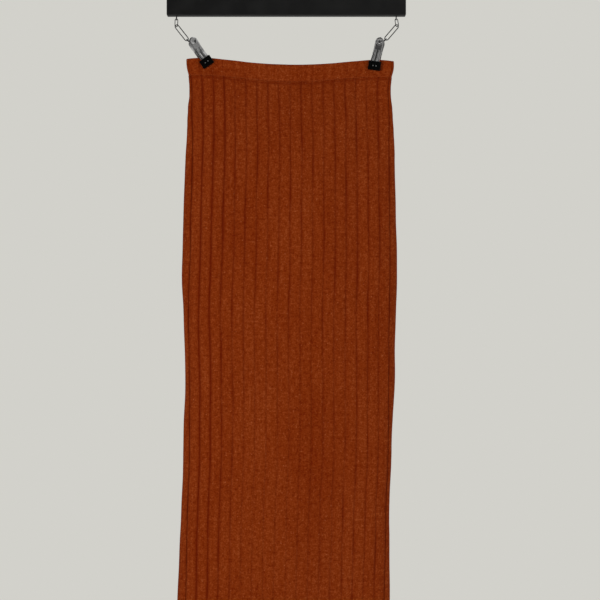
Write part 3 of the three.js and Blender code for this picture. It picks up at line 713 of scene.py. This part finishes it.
def fold_rise(folds, x, drop):
    total = np.zeros_like(x)
    for fold in folds:
        across = np.exp(-(((x - fold.x) / fold.width) ** 2))
        start = smooth_step(drop, fold.top, fold.top + FOLD_EASE)
        end = 1 - smooth_step(drop, fold.bottom - FOLD_EASE, fold.bottom)
        total += fold.rise * across * start * end
    return total


def crease_rise(creases, x, drop):
    total = np.zeros_like(x)
    for crease in creases:
        way_x, way_drop = crease.x1 - crease.x0, crease.drop1 - crease.drop0
        length = math.hypot(way_x, way_drop)
        along = ((x - crease.x0) * way_x + (drop - crease.drop0) * way_drop) / length**2
        aside = ((x - crease.x0) * way_drop - (drop - crease.drop0) * way_x) / length
        ends = smooth_step(along, *CREASE_START) * (1 - smooth_step(along, *CREASE_END))
        total += crease.rise * np.exp(-((aside / crease.width) ** 2)) * ends
    return total


def hang(x, drop, is_front):
    """How far the cloth hangs below the level of the left clip's grip."""
    middle = (CLIPS[0].x + CLIPS[1].x) / 2
    across = (x - middle) / (CLIPS[1].x - middle)
    outside = np.maximum(0, np.abs(across) - 1) / CORNER_SPAN
    inside = np.maximum(0, np.cos(np.minimum(1, np.abs(across)) * math.pi / 2)) ** SAG_SHAPE
    sag = FRONT_SAG if is_front else BACK_SAG
    lie = sag * inside + END_DROOP * outside**2 + SIDE_DROP * (across + 1) / 2
    return lie * (1 - smooth_step(drop, 0, SAG_DEPTH))


def cloth_line(section, wall):
    """The closed line of the cloth's inside at one height, with outward directions and outer lengths."""
    middle = (section.left + section.right) / 2
    half = (section.right - section.left) / 2 - wall
    turn = np.arange(LINE_STEPS) / LINE_STEPS * 2 * math.pi
    cos, sin = np.cos(turn), np.sin(turn)
    is_front = sin >= 0
    x = middle - np.sign(cos) * np.abs(cos) ** (2 / SQUARENESS) * half
    open_depth = np.where(is_front, section.front, section.back) * (1 - pinch(x, section.drop))
    front_rise = fold_rise(FRONT_FOLDS, x, section.drop)
    back_rise = fold_rise(BACK_FOLDS, x, section.drop)
    depth = np.maximum(LEAST_DEPTH, open_depth) + np.where(is_front, front_rise, back_rise)
    y = np.where(is_front, -1, 1) * np.abs(sin) ** (2 / SQUARENESS) * depth
    way_x = np.roll(x, -1) - np.roll(x, 1)
    way_y = np.roll(y, -1) - np.roll(y, 1)
    span = np.hypot(way_x, way_y)
    normal_x, normal_y = way_y / span, -way_x / span
    outer_x, outer_y = x + normal_x * wall, y + normal_y * wall
    steps = np.hypot(np.roll(outer_x, -1) - outer_x, np.roll(outer_y, -1) - outer_y)
    lengths = np.concatenate([[0], np.cumsum(steps)])
    line = {"x": x, "y": y, "normal_x": normal_x, "normal_y": normal_y}
    line = {key: np.append(value, value[0]) for key, value in line.items()}
    return {**line, "lengths": lengths, "is_front": is_front, "outer_x": outer_x}


def front_length_at(line, x):
    """Length along the line where the front's outer face reaches x."""
    reached = np.flatnonzero(line["is_front"] & (line["outer_x"] >= x))[0]
    near = slice(reached - 1, reached + 1)
    return np.interp(x, line["outer_x"][near], line["lengths"][near])


def section_at(drop):
    places = [row.drop for row in SECTIONS]
    columns = list(zip(*SECTIONS))[1:]
    return Section(drop, *(float(smooth_curve(places, column, drop)) for column in columns))


Panel = namedtuple("Panel", "name top bottom wall rise row_step is_front ribs creases seed")


def panel_rows(panel):
    """Drops of a panel's rows, and the share of the full thickness at each: its edges are rounded."""
    thickness = panel.wall + panel.rise
    insets = [inset * thickness for inset in EDGE_ROWS]
    is_band = panel.top == 0
    first, last = panel.top + insets[-1], panel.bottom - insets[-1]
    steps = max(2, round((last - first) / panel.row_step))
    middle = np.linspace(first, last, steps + 1)[1:-1]
    if not is_band:
        middle = np.concatenate([UNDER_BAND_ROWS, middle])
    upper = panel.top + np.array(insets)
    lower = panel.bottom - np.array(insets)[::-1]
    drops = np.concatenate([upper, middle, lower])
    above, below = (FOLDED, SEWN) if is_band else (SEWN, FOLDED)
    return drops, np.concatenate([above, np.ones(len(middle)), below[::-1]])


def panel_grid(panel):
    """The panel's points as grids: one row a height, with the columns spread over its ribs."""
    drops, row_shares = panel_rows(panel)
    ribs = np.array([rib + at for rib in range(panel.ribs) for at in RIB_COLUMNS] + [panel.ribs])
    across = ribs / panel.ribs
    keys = ("x", "y", "normal_x", "normal_y")
    rows = []
    for drop in drops:
        section = section_at(drop)
        line = cloth_line(section, panel.wall)
        total = line["lengths"][-1]
        left = front_length_at(line, section.left + section.seam_left)
        right = front_length_at(line, section.right - section.seam_right)
        start = (left if panel.is_front else right) + SEAM_GAP / 2
        end = (right if panel.is_front else left + total) - SEAM_GAP / 2
        from_seams = np.minimum(1, WANDER_GROWTH * across * (1 - across))
        wander = WANDER * ripple(ribs, drop, *WANDER_WAVES, panel.seed) * from_seams
        wanted = (start + (end - start) * across + wander) % total
        row = {key: np.interp(wanted, line["lengths"], line[key]) for key in keys}
        rows.append({**row, "width": np.full(len(across), end - start)})
    grids = {key: np.array([row[key] for row in rows]) for key in rows[0]}
    grids["drop"], grids["ribs"] = np.meshgrid(drops, ribs, indexing="ij")
    columns = np.ones(len(across))
    columns[: len(SEWN)] = SEWN
    columns[-len(SEWN):] = SEWN[::-1]
    grids["thickness"] = row_shares[:, None] * columns[None, :]
    return grids


def under_band(panel, drop):
    """1 in the soft trough where the body hangs from the band's seam, and 0 away from it."""
    return np.exp(-(((drop - UNDER_BAND) / UNDER_BAND_WIDTH) ** 2)) * (panel.top > 0)


def cloth_moves(panel, x, drop, from_side):
    """How far the cloth moves out in its creases, waves, puckered seams and the trough under the band."""
    moves = crease_rise(panel.creases, x, drop) + LUMP * ripple(x, drop, *LUMP_WAVES, panel.seed + 4)
    from_hem = drop - (LENGTH - sum(HEM_STITCH_RISES) / 2)
    for seam, (pucker, waves, along, distance) in enumerate((
        (SEAM_PUCKER, SEAM_WAVES, from_side, from_side),
        (BAND_PUCKER, BAND_WAVES, x, drop - BAND_HEIGHT),
        (HEM_PUCKER, HEM_WAVES, x, from_hem),
    )):
        uneven = ripple(along, drop, *waves, panel.seed + seam + 1)
        moves = moves + pucker * uneven * np.exp(-((distance / PUCKER_REACH) ** 2))
    held = pinch(x, drop) * (1 - smooth_step(drop, *HELD_DROPS))
    return (moves - UNDER_BAND_DIP * under_band(panel, drop)) * (1 - held)


def shade_depth(panel, grid, edge):
    """How much painted shade the cloth gets, from 0 to 1: in its grooves, under the band and in the troughs.
    """
    drop, ribs = grid["drop"], grid["ribs"]
    strong = np.exp(-((ribs - STRONG_RIB) / STRONG_REACH) ** 2) if panel.is_front else 0
    in_middle = np.exp(-(((ribs / panel.ribs - 0.5) / FADE_HALF) ** 4)) * smooth_step(drop, *FADE_DROPS)
    patchy = GROOVE_SHADE + GROOVE_STRONG * strong
    patchy = patchy + GROOVE_UNEVEN * ripple(ribs, drop, *GROOVE_WAVES, panel.seed + 6)
    patchy = np.clip(patchy * (1 - FADE_SHARE * in_middle), LEAST_SHADE, 1)
    depth = edge**GROOVE_SOFTNESS * patchy * (panel.rise / RIB_RISE)
    depth = np.maximum(depth, UNDER_BAND_SHADE * under_band(panel, drop))
    trough = -fold_rise(FRONT_FOLDS if panel.is_front else BACK_FOLDS, grid["x"], drop) / TROUGH_DEPTH
    return np.minimum(1, depth + TROUGH_SHADE * np.clip(trough, 0, 1))


def add_panel(panel, look):
    """One piece of cloth, with its flat coordinates for the knit and its painted shade as an attribute."""
    grid = panel_grid(panel)
    x, drop, ribs, width = grid["x"], grid["drop"], grid["ribs"], grid["width"]
    across = ribs / panel.ribs
    moves = cloth_moves(panel, x, drop, np.minimum(across, 1 - across) * width)
    edge = np.abs(2 * (ribs % 1) - 1)
    rib = (1 - edge**RIB_FLATNESS) ** RIB_SHOULDER
    uneven = 1 + RIB_UNEVEN * ripple(ribs, drop, *RIB_WAVES, panel.seed + 5)
    outer_off = panel.wall + panel.rise * rib * uneven
    inner_off = -REVERSE_RIDGE * panel.rise * (1 - rib)
    middle = (outer_off + inner_off) / 2
    half = (outer_off - inner_off) / 2 * grid["thickness"]
    z = WAIST_Z - drop - hang(x, drop, panel.is_front)

    def face(offset):
        out = offset + moves
        return np.stack([x + grid["normal_x"] * out, grid["y"] + grid["normal_y"] * out, z], 2)

    outer = face(middle + half)
    piece = add_fine(panel.name, shell(outer, face(middle - half)), look)

    mesh = piece.data
    flat = np.tile(np.stack([ribs.ravel() * WALES_PER_RIB * WALE, drop.ravel()], 1) * MM, (2, 1))
    used = np.empty(len(mesh.loops), int)
    mesh.loops.foreach_get("vertex_index", used)
    layer = mesh.uv_layers.new(name="cloth")
    layer.uv.foreach_set("vector", flat[used].astype(np.float32).ravel())
    painted_shade = mesh.attributes.new("painted_shade", "FLOAT", "POINT")
    depth = shade_depth(panel, grid, edge)
    painted_shade.data.foreach_set("value", np.tile(depth.ravel(), 2).astype(np.float32))
    return piece, {"drops": drop[:, 0], "across": across[0], "outer": outer, "width": width[:, 0]}


def on_cloth(surface, share, drop):
    """The point of a panel's outer face at a share of its width and a drop."""
    row, down = between(surface["drops"], drop)
    column, over = between(surface["across"], share)
    points = surface["outer"]
    upper = points[row, column] * (1 - over) + points[row, column + 1] * over
    lower = points[row + 1, column] * (1 - over) + points[row + 1, column + 1] * over
    return Vector(upper * (1 - down) + lower * down)


def add_stitches(name, surface, drops):
    """Rows of single stitches: each one rises from the cloth and goes back in."""
    shapes = []
    for drop in drops:
        row = int(np.searchsorted(surface["drops"], drop))
        width = surface["width"][row]
        count = int(width / STITCH_PITCH)
        for i in range(count):
            centre = (i + 0.5) / count
            reach = STITCH_LENGTH / width / 2
            ends = [on_cloth(surface, centre + side * reach, drop) for side in (-1, 0, 1)]
            along = (ends[2] - ends[0]).normalized()
            down = on_cloth(surface, centre, drop + 1) - ends[1]
            out = down.cross(along).normalized()
            near = ends[0].lerp(ends[1], 1 - STITCH_SHOULDER)
            far = ends[1].lerp(ends[2], STITCH_SHOULDER)
            places = [ends[0], near, ends[1], far, ends[2]]
            path = [place + out * rise for place, rise in zip(places, STITCH_RISES)]
            shapes.append(tube(path, THREAD / 2, sides=5))
    return new_object(name, joined(*shapes), SEWING_THREAD)


def add_skirt():
    band = (0, BAND_HEIGHT, BAND_WALL, BAND_RIB_RISE, BAND_ROW_STEP)
    body = (BAND_HEIGHT + SEAM_GAP, LENGTH, WALL, RIB_RISE, ROW_STEP)
    front = (True, FRONT_RIBS, FRONT_CREASES, FRONT_SEED)
    back = (False, BACK_RIBS, BACK_CREASES, BACK_SEED)
    hem_drops = [LENGTH - rise for rise in HEM_STITCH_RISES]
    made = {}
    for name, size, side, look, slot, drops in (
        ("waistband_front", band, front, BAND_KNIT, "band_knit", [BAND_STITCH_DROP]),
        ("waistband_back", band, back, BAND_KNIT, "band_knit", [BAND_STITCH_DROP]),
        ("skirt_front", body, front, RIB_KNIT, "rib_knit", hem_drops),
        ("skirt_back", body, back, RIB_KNIT, "rib_knit", hem_drops),
    ):
        piece, surface = add_panel(Panel(name, *size, *side), look)
        sewing = add_stitches(f"stitches_{name}", surface, drops)
        made[name] = (piece, sewing, surface)
    return made


skirt = add_skirt()


# The hanger

def link_line(length, width, steps=12):
    """The centre line of a link with round ends, in XZ."""
    radius = width / 2
    straight = length / 2 - radius
    points = []
    for end in (1, -1):
        for i in range(steps + 1):
            turn = i / steps * math.pi
            points.append((end * radius * math.cos(turn), 0, end * (straight + radius * math.sin(turn))))
    return points


def turn_along(direction, twist):
    """The turn that sends +Z along a direction, with its flat side twisted away from the front."""
    up = direction.normalized()
    across = Vector((0, 1, 0)).cross(up).normalized()
    square = up.cross(across)
    basis = Matrix((across, square, up)).transposed().to_4x4()
    return basis @ Matrix.Rotation(math.radians(twist), 4, "Z")


def add_link(name, start, end, link, outwards):
    direction = end - start
    shape = tube(link_line(direction.length, link.width), link.wire / 2, sides=10, closed=True)
    place = Matrix.Translation(start.lerp(end, 0.5)) @ turn_along(direction, link.twist * outwards)
    add_fine(name, moved(shape, place), CHAIN_CHROME)


def knee_point(eye, ring_end, outwards):
    start, end = Vector((eye.x, eye.z)), Vector((ring_end.x, ring_end.z))
    span = (end - start).length
    along = (end - start) / span
    near = (SMALL_LINK.reach**2 - LONG_LINK.reach**2 + span**2) / (2 * span)
    aside = math.sqrt(SMALL_LINK.reach**2 - near**2)
    knee = start + along * near + Vector((-along.y, along.x)) * outwards * aside
    share = SMALL_LINK.reach / (SMALL_LINK.reach + LONG_LINK.reach)
    return Vector((knee.x, eye.y + (ring_end.y - eye.y) * share, knee.y))


def add_chain(clip, hole):
    eye = Vector((clip.eye, 0, BAR_BOTTOM - GAP - EYE_RADIUS - EYE_WIRE / 2))
    loop = [(0, y, z) for y, z in circle(EYE_RADIUS, EYE_STEPS)]
    shank = [(0, 0, EYE_RADIUS), (0, 0, EYE_RADIUS + EYE_WIRE / 2 + EYE_SEAT)]
    shape = joined(tube(loop, EYE_WIRE / 2, closed=True), tube(shank, EYE_WIRE / 2))
    add_fine(f"screw_eye_{clip.side}", moved(shape, Matrix.Translation(eye)), CHAIN_CHROME)

    start = eye + Vector((0, 0, (EYE_WIRE + SMALL_LINK.wire) / 2 + GAP - EYE_RADIUS))
    outwards = math.copysign(1, clip.eye)

    rise = math.radians(clip.ring_rise)
    ring_way = Vector((outwards * math.cos(rise), 0, math.sin(rise)))
    shape = tube(link_line(2 * RING_RADIUS, 2 * RING_RADIUS), RING_WIRE / 2, sides=10, closed=True)
    place = Matrix.Translation(hole + ring_way * RING_RADIUS) @ turn_along(ring_way, RING_TWIST)
    add_fine(f"ring_{clip.side}", moved(shape, place), CHAIN_CHROME)

    in_ring = 2 * RING_RADIUS - (RING_WIRE + LONG_LINK.wire) / 2 - GAP
    foot = hole + ring_way * in_ring
    knee = knee_point(start, foot, outwards)
    down = (knee - start).normalized()
    add_link(f"small_link_{clip.side}", start, knee + down * CHAIN_CROSSING, SMALL_LINK, outwards)
    pull = (knee - foot).normalized()
    add_link(f"long_link_{clip.side}", foot, knee + pull * CHAIN_CROSSING, LONG_LINK, outwards)


def lever_off(z):
    """How far a lever's middle lies from the clip's middle plane."""
    return smooth_curve(*zip(*LEVER_PROFILE), z)


def lever_shape(to_back, ear_x, hole_x):
    """A pressed plate with a round thumb end, rolled edges, a dish and two beads, and its pivot ears."""
    round_z = LEVER_TOP - LEVER_TOP_RADIUS
    straight = np.linspace(LEVER_FOOT, round_z, LEVER_ROWS)
    turn = np.linspace(0, LEVER_END_TURN, LEVER_END_ROWS)[1:]
    z = np.concatenate([straight, round_z + LEVER_TOP_RADIUS * np.sin(turn)])
    taper = np.interp(straight, [LEVER_FOOT, PIVOT_Z], [LEVER_FOOT_HALF, LEVER_TOP_RADIUS])
    half = np.concatenate([taper, LEVER_TOP_RADIUS * np.cos(turn)])
    across = np.sin(np.linspace(-1, 1, LEVER_COLUMNS) * math.pi / 2)
    x = half[:, None] * across
    z = np.repeat(z[:, None], len(across), 1)
    curl = LEVER_CURL * np.abs(across) ** CURL_SHARPNESS * smooth_step(z, *CURL_START)
    off = lever_off(z) - curl
    if to_back < 0:
        from_dish = np.hypot(x, z - round_z)
        off = off - DISH_DEPTH * (1 - smooth_step(from_dish / DISH_RADIUS, *DISH_SLOPE))
        off = off + DISH_RIM * np.exp(-(((from_dish - DISH_RADIUS) / DISH_RIM_WIDTH) ** 2))
    bead_end = np.clip(1 - (z - BEAD_TOP) / BEAD_HALF, 0, 1) ** 0.5
    for side in (-1, 1):
        bead = np.clip(1 - ((x - side * BEAD_X) / BEAD_HALF) ** 2, 0, 1) ** 0.7
        off = off + BEAD_RISE * bead * bead_end * smooth_step(z, *BEAD_START)
    from_edge = (1 - np.abs(across)) * half[:, None]
    thick = LEVER_THICKNESS / 2 * np.minimum(1, from_edge / LEVER_RIM + LEVER_RIM_LEAST) ** 0.5
    plate = shell(*(np.stack([x, to_back * (off + side * thick), z], 2) for side in (1, -1)))
    if to_back < 0:
        plate = turned(plate)
    else:
        bore = [(hole_x, 0, CHAIN_HOLE_Z), (hole_x, 2 * LEVER_TOP_RADIUS, CHAIN_HOLE_Z)]
        plate = cut(plate, tube(bore, CHAIN_HOLE_RADIUS, sides=24))
    shapes = [plate]
    reach = float(lever_off(PIVOT_Z)) * to_back
    for from_x in (ear_x, -ear_x - EAR_THICKNESS):
        outline = [(reach, PIVOT_Z - EAR_RADIUS - EAR_ROOT)]
        for t in np.linspace(-math.pi / 2, math.pi / 2, EAR_STEPS):
            outline.append((-to_back * EAR_RADIUS * math.cos(t), PIVOT_Z + EAR_RADIUS * math.sin(t)))
        outline.append((reach, PIVOT_Z + EAR_RADIUS + EAR_ROOT))
        rings = [(x, y, z) for x in (from_x, from_x + EAR_THICKNESS) for y, z in outline]
        ear = rings, ring_faces(2, len(outline))
        shapes.append(turned(ear) if to_back > 0 else ear)
    return joined(*shapes)


def spring_shape():
    """A torsion spring round the pin, its two arms lying along the levers."""
    half = BACK_EAR_X - GAP - SPRING_WIRE / 2
    points = []
    steps = SPRING_TURNS * SPRING_STEPS
    for i in range(steps + 1):
        turn = 2 * math.pi * i / SPRING_STEPS
        x = -half + 2 * half * i / steps
        points.append((x, -SPRING_RADIUS * math.cos(turn), PIVOT_Z - SPRING_RADIUS * math.sin(turn)))
    arms = []
    for to_back in (-1, 1):
        foot = PIVOT_Z + SPRING_FOOT
        arm = [(0, to_back * SPRING_RADIUS, PIVOT_Z)]
        for z in (foot, (foot + SPRING_ARM_Z) / 2, SPRING_ARM_Z):
            lie = float(lever_off(z)) - LEVER_THICKNESS / 2 - SPRING_WIRE / 2 - SPRING_CLEARANCE
            arm.append((0, to_back * lie, z))
        side = to_back * half
        arms.append(tube([(side, y, z) for _, y, z in arm], SPRING_WIRE / 2, sides=8, round_ends=True))
    return joined(tube(points, SPRING_WIRE / 2, sides=8, round_ends=True), *arms)


def pin_shape():
    shaft = FRONT_EAR_X + EAR_THICKNESS + GAP
    end = shaft + PIN_HEAD
    head = [(end - inset, PIN_HEAD_RADIUS * share) for inset, share in PIN_HEAD_PROFILE]
    profile = [(-x, r) for x, r in head] + [(-shaft, PIN_HEAD_RADIUS), (-shaft, PIN_RADIUS)]
    profile += [(-x, r) for x, r in reversed(profile)]
    return moved(lathe(profile), Matrix.Translation((0, 0, PIVOT_Z)))


def pad_shape(to_back, clip):
    """A rubber jaw: a rounded block with a pocket for the lever's foot and two small bosses."""
    near, far = to_back * PAD_NEAR, to_back * (PAD_NEAR + PAD_THICKNESS)
    low = (-PAD_WIDTH / 2, min(near, far), -PAD_HEIGHT / 2)
    high = (PAD_WIDTH / 2, max(near, far), PAD_HEIGHT / 2)
    jaw = Matrix.Rotation(math.radians(clip.jaw), 4, "Y")
    block = moved(rounded_block(low, high, PAD_ROUND), jaw)
    foot = to_back * LEVER_PROFILE[0][1]
    side = LEVER_FOOT_HALF + GAP
    thick = LEVER_THICKNESS / 2 + GAP
    pocket = box_shape((-side, foot - thick, LEVER_FOOT - GAP), (side, foot + thick, PAD_HEIGHT))
    shapes = [cut(block, moved(pocket, Matrix.Rotation(math.radians(clip.turn), 4, "Z")))]
    for x in (-BOSS_X, BOSS_X):
        profile = [(rise, BOSS_RADIUS * share) for rise, share in BOSS_PROFILE]
        place = jaw @ Matrix.Translation((x, far, BOSS_Z)) @ Matrix.Rotation(to_back * math.pi / 2, 4, "Z")
        shapes.append(moved(lathe(profile, BOSS_SIDES), place))
    return joined(*shapes)


def add_clip(clip):
    whole = Matrix.Translation((clip.x, 0, clip.z)) @ Matrix.Rotation(math.radians(clip.lean), 4, "Y")
    levers = whole @ Matrix.Rotation(math.radians(clip.turn), 4, "Z")
    hole_x = math.copysign(CHAIN_HOLE_X, clip.eye)
    for name, shape, place, look, slot in (
        ("clip_front", lever_shape(-1, FRONT_EAR_X, hole_x), levers, CLIP_CHROME, "clip_chrome"),
        ("clip_back", lever_shape(1, BACK_EAR_X, hole_x), levers, CLIP_CHROME, "clip_chrome"),
        ("clip_pin", pin_shape(), levers, CLIP_CHROME, "clip_chrome"),
        ("clip_spring", spring_shape(), levers, CHAIN_CHROME, "clip_chrome"),
        ("pad_front", pad_shape(-1, clip), whole, BLACK_RUBBER, "pad_rubber"),
        ("pad_back", pad_shape(1, clip), whole, BLACK_RUBBER, "pad_rubber"),
    ):
        piece = add_fine(f"{name}_{clip.side}", moved(shape, place), look)
        if look == BLACK_RUBBER:
            # the bosses get the light grey of a painted highlight
            piece.data.materials.append(BOSS_PAINTED_HIGHLIGHT)
            for face in piece.data.polygons[-2 * BOSS_FACES:]:
                face.material_index = 1
    add_chain(clip, levers @ Vector((hole_x, float(lever_off(CHAIN_HOLE_Z)), CHAIN_HOLE_Z)))


def add_hook():
    radius = HOOK_INNER_RADIUS + HOOK_WIRE / 2

    def on_arc(turn):
        return Vector((radius * math.cos(turn), 0, radius * math.sin(turn) - HOOK_INNER_RADIUS))

    foot = Vector((0, 0, BAR_BOTTOM + BAR_HEIGHT - HOOK_SEAT))
    top = Vector((0, 0, HOOK_STEM_TOP))
    arc_way = Vector((-math.sin(HOOK_START), 0, math.cos(HOOK_START)))
    start = on_arc(HOOK_START)
    pulls = [top, top + Vector((0, 0, HOOK_EASE)), start - arc_way * HOOK_EASE, start]
    points = [foot, foot.lerp(top, 0.5)]
    for t in np.linspace(0, 1, HOOK_EASE_STEPS):
        weights = [(1 - t) ** 3, 3 * t * (1 - t) ** 2, 3 * t * t * (1 - t), t**3]
        points.append(sum((pull * weight for pull, weight in zip(pulls, weights)), Vector()))
    points += [on_arc(turn) for turn in np.linspace(HOOK_START, HOOK_END, HOOK_ARC_STEPS)[1:]]
    shape = tube(points, HOOK_WIRE / 2, sides=20, round_ends=True)
    add_fine("hanger_hook", shape, HOOK_CHROME)


def finish_bar():
    """The solid bar keeps its shape, with its edges eased a little."""
    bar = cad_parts["hanger_bar"]
    bar.data.materials.clear()
    bar.data.materials.append(BLACK_LACQUER)
    ease = bar.modifiers.new("eased_edges", "BEVEL")
    ease.width = BAR_EDGE * MM
    ease.segments = 3
    ease.limit_method = "ANGLE"
    ease.angle_limit = BAR_EDGE_ANGLE


add_hook()
finish_bar()
for each in CLIPS:
    add_clip(each)


# Floor, light and camera, in metres apart from the camera's sensor

FLOOR_Z = -2.2
FLOOR_RADIUS = 3.2
FLOOR_SIDES = 96
CAMERA_DISTANCE = 1.7
PHOTO_SPAN = 0.9
PHOTO_MIDDLE = Vector((0.0205, 0, -0.531))
SENSOR = 36


def add_floor():
    corners = [(x, y, FLOOR_Z) for x, y in circle(FLOOR_RADIUS, FLOOR_SIDES)]
    mesh = bpy.data.meshes.new("studio_floor")
    mesh.from_pydata(corners, [], [list(range(FLOOR_SIDES))])
    look = Look("pale_floor")
    grain = look.noise(look.place(), 25, 3, 0.6)
    shade = look.mix(look.range(grain, 0.3, 0.7), colour(0.66, 0.65, 0.63), colour(0.7, 0.69, 0.67))
    mesh.materials.append(look.set(base_color=shade, roughness=0.9))
    placed("studio_floor", mesh)


def add_lamp(lamp):
    """A round soft lamp that points at the middle plane. It stays out of the gloss, where the room shows."""
    data = bpy.data.lights.new(lamp.name, "AREA")
    data.shape = "DISK"
    data.size = lamp.size
    data.energy = lamp.power
    data.color = lamp.tint
    made = placed(lamp.name, data)
    made.visible_glossy = False
    made.location = lamp.place
    made.rotation_euler = (Vector((0, 0, lamp.target_z)) - made.location).to_track_quat("-Z", "Y").to_euler()


# Brightness of the room that lights the cloth and shows in the chrome: from left to right, and from below up
ROOM_ACROSS = [
    (0.0, 0.04), (0.06, 0.05), (0.09, 0.35), (0.13, 0.35), (0.16, 0.04), (0.5, 0.03), (0.58, 0.12),
    (0.64, 0.19), (0.74, 0.19), (0.8, 0.1), (0.86, 0.3), (0.92, 0.3), (1.0, 0.12),
]
ROOM_UP = [(0.0, 0.25), (0.26, 0.2), (0.38, 0.07), (0.44, 0.02), (0.86, 0.02), (0.93, 0.5), (1.0, 0.55)]
ROOM_TINT = (1, 0.99, 0.97)
ROOM_STRENGTH = 2
BACKDROP = colour(0.645, 0.638, 0.597)

Lamp = namedtuple("Lamp", "name place target_z size power tint")
LAMPS = [
    Lamp("key", (-1.1, -1.5, -0.65), -0.5, 0.9, 16.1, ROOM_TINT),
    Lamp("fill", (1.5, -1.3, -0.5), -0.5, 1.2, 8.2, (1, 1, 1)),
    Lamp("top", (0.2, 0.5, 1.0), -0.3, 1.0, 4, (1, 1, 1)),
    Lamp("back", (0.5, 1.9, 0.0), -0.6, 1.4, 15, (1, 1, 1)),
]


def add_world():
    """A plain pale surround for the camera. What lights the object is a room, dark behind the camera."""
    world = bpy.data.worlds.new("pale_studio")
    bpy.context.scene.world = world
    world.use_nodes = True
    world.node_tree.nodes.clear()
    tree = Tree(world.node_tree)
    way = tree.node("SeparateXYZ", {0: tree.node("TexCoord", {}).outputs["Generated"]}).outputs

    def ramp(source, stops):
        share = tree.node("MapRange", {0: source, 1: -1}).outputs[0]
        made = tree.node("ValToRGB", {0: share})
        elements = made.color_ramp.elements
        while len(elements) < len(stops):
            elements.new(0.5)
        for element, (place, value) in zip(elements, stops):
            element.position = place
            element.color = colour(*(value * part for part in ROOM_TINT))
        return made.outputs[0]

    light = tree.mix(1, ramp(way[0], ROOM_ACROSS), ramp(way[2], ROOM_UP), "LIGHTEN")
    room = tree.node("Background", {"Color": light, "Strength": ROOM_STRENGTH}).outputs[0]
    plain = tree.node("Background", {"Color": BACKDROP}).outputs[0]
    seen = tree.node("LightPath", {}).outputs["Is Camera Ray"]
    choice = tree.node("MixShader", {0: seen, 1: room, 2: plain}).outputs[0]
    tree.node("OutputWorld", {"Surface": choice})


def add_camera():
    data = bpy.data.cameras.new("photo_camera")
    data.sensor_width = SENSOR
    data.lens = SENSOR * CAMERA_DISTANCE / PHOTO_SPAN
    camera = placed("photo_camera", data)
    camera.location = PHOTO_MIDDLE - Vector((0, CAMERA_DISTANCE, 0))
    camera.rotation_euler = (math.pi / 2, 0, 0)
    bpy.context.scene.camera = camera


bpy.context.scene.view_settings.view_transform = "Standard"
add_floor()
add_world()
for each in LAMPS:
    add_lamp(each)
add_camera()
